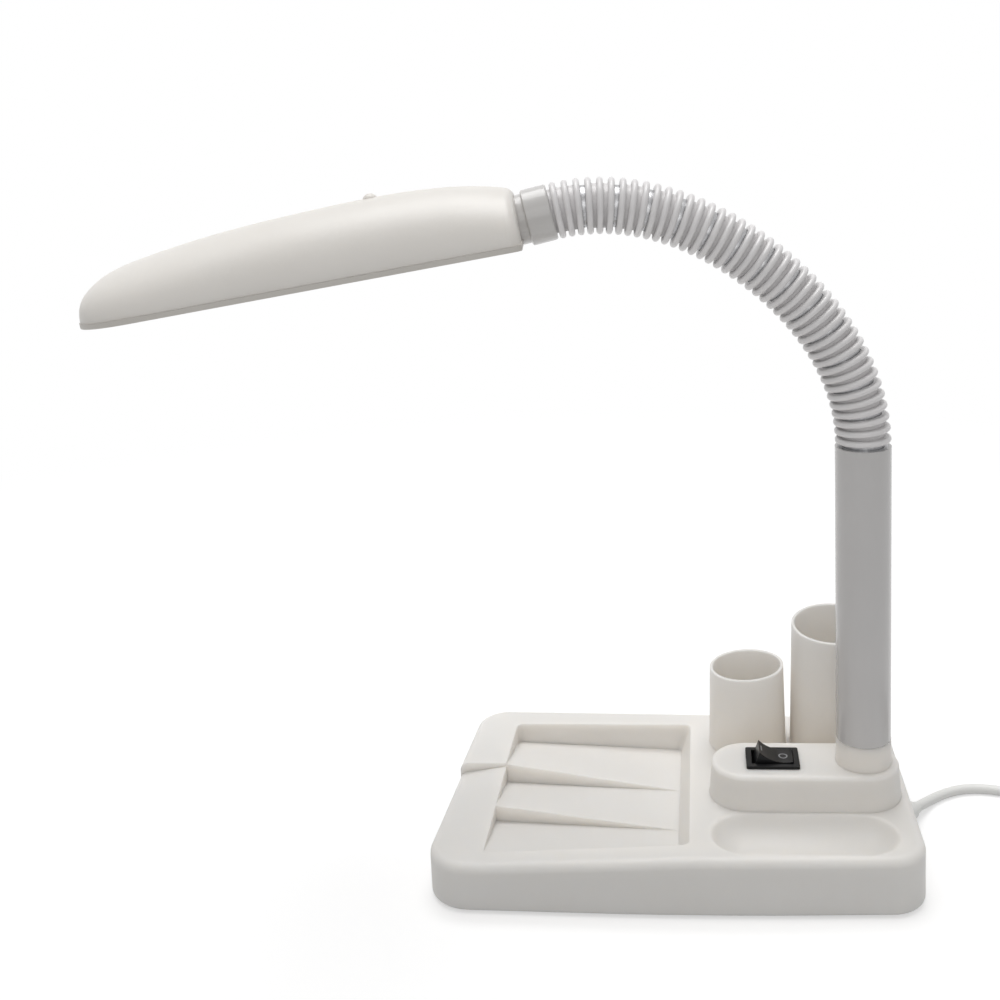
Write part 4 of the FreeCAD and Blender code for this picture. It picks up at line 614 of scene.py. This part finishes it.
# %% Zinc, steel, brass and nickel
def metal(name, tone, haze_tone, roughness, haze_mm):
    """Bare or plated metal with a hazy, slightly uneven polish."""
    material, output = new_material(name)
    place = add_node(material, "ShaderNodeTexCoord").outputs["Object"]
    haze = add_node(material, "ShaderNodeTexVoronoi", {"feature": "F1"}, {"Vector": place, "Scale": 1000.0 / haze_mm})
    mottle = add_node(material, "ShaderNodeMix", {"data_type": "RGBA"},
                      {"Factor": haze.outputs["Distance"], "A": colour(tone), "B": colour(haze_tone)})
    polish = add_node(material, "ShaderNodeMapRange", None,
                      {"Value": haze.outputs["Distance"], "To Min": roughness, "To Max": roughness + 0.15})
    rounded = add_node(material, "ShaderNodeBevel", {"samples": 4}, {"Radius": 0.15 * MM})
    surface = add_node(material, "ShaderNodeBsdfPrincipled", None,
                       {"Base Color": mottle.outputs["Result"], "Metallic": 1.0,
                        "Roughness": polish.outputs["Result"], "Normal": rounded.outputs["Normal"]})
    material.node_tree.links.new(surface.outputs["BSDF"], output.inputs["Surface"])
    return material


zinc = metal("zinc_plated_steel", "#c3c6cb", "#a9adb4", 0.32, 0.8)
ground_steel = metal("ground_steel", "#b9b9ba", "#9d9d9f", 0.24, 0.5)
brass = metal("plain_brass", "#d8b066", "#c39a50", 0.3, 0.6)
nickel = metal("nickel_plating", "#cfccc6", "#bdbab4", 0.16, 1.2)
give(zinc, "base_screws", "column_rod", "column_washer", "column_nut", "ballast_plate", "head_screws", "head_bracket")
give(ground_steel, "neck_anchor", *[name for name in nodes if name.startswith("gooseneck_core")])
give(brass, "switch_terminals")
give(nickel, "plug_sleeve", "plug_shell")
print("metals", [m.name for m in (zinc, ground_steel, brass, nickel)])

# %% [markdown]
# ## The light panel
# The diffuser is opal acrylic: light passes but nothing shows through, so it is a satin white that
# lets some light sink in.  Behind it are a white reflector, a board with a white mask, and the
# chips with their yellow phosphor.

# %% Opal acrylic and what lies behind it
opal, opal_output = new_material("opal_acrylic")
opal_place = add_node(opal, "ShaderNodeTexCoord").outputs["Object"]
opal_clouds = add_node(opal, "ShaderNodeTexNoise", {"noise_dimensions": "3D"},
                       {"Vector": opal_place, "Scale": 1000.0 / 25.0, "Detail": 2.0})
opal_tone = add_node(opal, "ShaderNodeMix", {"data_type": "RGBA"},
                     {"Factor": opal_clouds.outputs["Fac"], "A": colour("#f2f2ef"), "B": colour("#e9e9e5")})
opal_frost = add_node(opal, "ShaderNodeTexNoise", {"noise_dimensions": "3D"},
                      {"Vector": opal_place, "Scale": 1000.0 / 0.7, "Detail": 1.0})
opal_bump = add_node(opal, "ShaderNodeBump", None,
                     {"Strength": 1.0, "Distance": 0.01 * MM, "Height": opal_frost.outputs["Fac"]})
opal_surface = add_node(opal, "ShaderNodeBsdfPrincipled", None,
                        {"Base Color": opal_tone.outputs["Result"], "Roughness": 0.38, "IOR": 1.49,
                         "Subsurface Weight": 0.25, "Subsurface Radius": (0.002, 0.002, 0.002),
                         "Subsurface Scale": 1.0, "Normal": opal_bump.outputs["Normal"]})
opal.node_tree.links.new(opal_surface.outputs["BSDF"], opal_output.inputs["Surface"])
reflector_white = moulded("reflector_white_sheet", "#f0f0ee", "#e6e6e3", 0.55, 0.8, 0.004)
board_mask = moulded("board_white_mask", "#e8e8e4", "#dcdcd6", 0.35, 0.5, 0.003, edge_mm=0.1)
phosphor = moulded("chip_yellow_phosphor", "#e8d24e", "#d9bf3a", 0.35, 0.3, 0.004, edge_mm=0.1)
give(opal, "diffuser")
give(reflector_white, "reflector")
give(board_mask, "led_board")
give(phosphor, "leds")
bare = [name for name in nodes if any(m is None or not m.use_nodes for m in nodes[name].data.materials)]
print("panel finishes given, nodes left without one:", bare)

# %% [markdown]
# ## Floor, light and background
# The lamp stands on a plain pale floor that runs out into white.  Near the lamp the floor is an
# ordinary matt surface, so it catches the soft shadow.  Its paper is a pale grey, and for the
# camera a little glow of its own lifts it back to white, which keeps the shadow faint, as on a
# well-lit sweep.  Further out it turns to plain white for the camera, and for reflections, so no
# horizon shows.  The larger lamp hangs high and somewhat behind the object, so the upward faces
# are bright and the fronts stay a little darker; a weak one in front and an even sky fill the
# rest.  A surface that faces up shows about the colour that was written.

# %% Lay the floor
begin()
bpy.ops.mesh.primitive_grid_add(x_subdivisions=8, y_subdivisions=8, size=12.0, location=(0, 0, -0.00005))
floor = bpy.context.object
floor.name = "floor"
floor_paper, floor_output = new_material("floor_white_paper")
floor_place = add_node(floor_paper, "ShaderNodeTexCoord").outputs["Object"]
flat_place = add_node(floor_paper, "ShaderNodeVectorMath", {"operation": "LENGTH"}, {0: floor_place})
fade = add_node(floor_paper, "ShaderNodeMapRange", {"interpolation_type": "SMOOTHSTEP"},
                {"Value": flat_place.outputs["Value"], "From Min": 0.30, "From Max": 0.75})
rays = add_node(floor_paper, "ShaderNodeLightPath")
seen = add_node(floor_paper, "ShaderNodeMath", {"operation": "MAXIMUM"},
                {0: rays.outputs["Is Camera Ray"], 1: rays.outputs["Is Glossy Ray"]})
seen_any = add_node(floor_paper, "ShaderNodeMath", {"operation": "MAXIMUM"},
                    {0: seen.outputs["Value"], 1: rays.outputs["Is Transmission Ray"]})
share = add_node(floor_paper, "ShaderNodeMath", {"operation": "MULTIPLY"},
                 {0: fade.outputs["Result"], 1: seen_any.outputs["Value"]})
paper = add_node(floor_paper, "ShaderNodeBsdfDiffuse", None, {"Color": colour("#cdcdcd")})
lift = add_node(floor_paper, "ShaderNodeEmission", None, {"Color": (1, 1, 1, 1), "Strength": 0.50})
lifted = add_node(floor_paper, "ShaderNodeAddShader", None, {0: paper.outputs["BSDF"], 1: lift.outputs["Emission"]})
near = add_node(floor_paper, "ShaderNodeMixShader", None,
                {"Fac": seen_any.outputs["Value"], 1: paper.outputs["BSDF"], 2: lifted.outputs["Shader"]})
white = add_node(floor_paper, "ShaderNodeEmission", None, {"Color": (1, 1, 1, 1), "Strength": 1.0})
floor_mix = add_node(floor_paper, "ShaderNodeMixShader", None,
                     {"Fac": share.outputs["Value"], 1: near.outputs["Shader"], 2: white.outputs["Emission"]})
floor_paper.node_tree.links.new(floor_mix.outputs["Shader"], floor_output.inputs["Surface"])
floor.data.materials.append(floor_paper)
print("floor", tuple(round(v, 2) for v in floor.dimensions))

# %% Hang the lights
def soft_light(name, place, target, size, power):
    """Large area light that looks at a target."""
    data = bpy.data.lights.new(name, "AREA")
    data.shape, data.size, data.energy = "DISK", size, power
    lamp = bpy.data.objects.new(name, data)
    bpy.context.scene.collection.objects.link(lamp)
    lamp.location = place
    lamp.rotation_euler = (Vector(target) - Vector(place)).to_track_quat("-Z", "Y").to_euler()
    return lamp


soft_light("overhead_light", (-0.3, 0.7, 4.0), (0.0, 0.0, 0.1), 3.2, 110.0)
soft_light("front_light", (0.3, -4.0, 1.4), (0.0, 0.0, 0.12), 2.8, 22.0)

world = bpy.data.worlds.new("even_sky")
bpy.context.scene.world = world
world.use_nodes = True
world.node_tree.nodes.clear()
sky_output = world.node_tree.nodes.new("ShaderNodeOutputWorld")
sky_rays = world.node_tree.nodes.new("ShaderNodeLightPath")
sky_seen = add_node(world, "ShaderNodeMath", {"operation": "MAXIMUM"},
                    {0: sky_rays.outputs["Is Camera Ray"], 1: sky_rays.outputs["Is Glossy Ray"]})
sky_any = add_node(world, "ShaderNodeMath", {"operation": "MAXIMUM"},
                   {0: sky_seen.outputs["Value"], 1: sky_rays.outputs["Is Transmission Ray"]})
sky_light = add_node(world, "ShaderNodeBackground", None, {"Color": (0.38, 0.38, 0.38, 1.0), "Strength": 1.0})
sky_white = add_node(world, "ShaderNodeBackground", None, {"Color": (1, 1, 1, 1), "Strength": 1.0})
sky_mix = add_node(world, "ShaderNodeMixShader", None,
                   {"Fac": sky_any.outputs["Value"], 1: sky_light.outputs["Background"],
                    2: sky_white.outputs["Background"]})
world.node_tree.links.new(sky_mix.outputs["Shader"], sky_output.inputs["Surface"])
bpy.context.scene.view_settings.view_transform = "Standard"

# %% [markdown]
# ## Finish
# The scene is brought up to date at the end.

# %% Finish
bpy.context.view_layer.update()
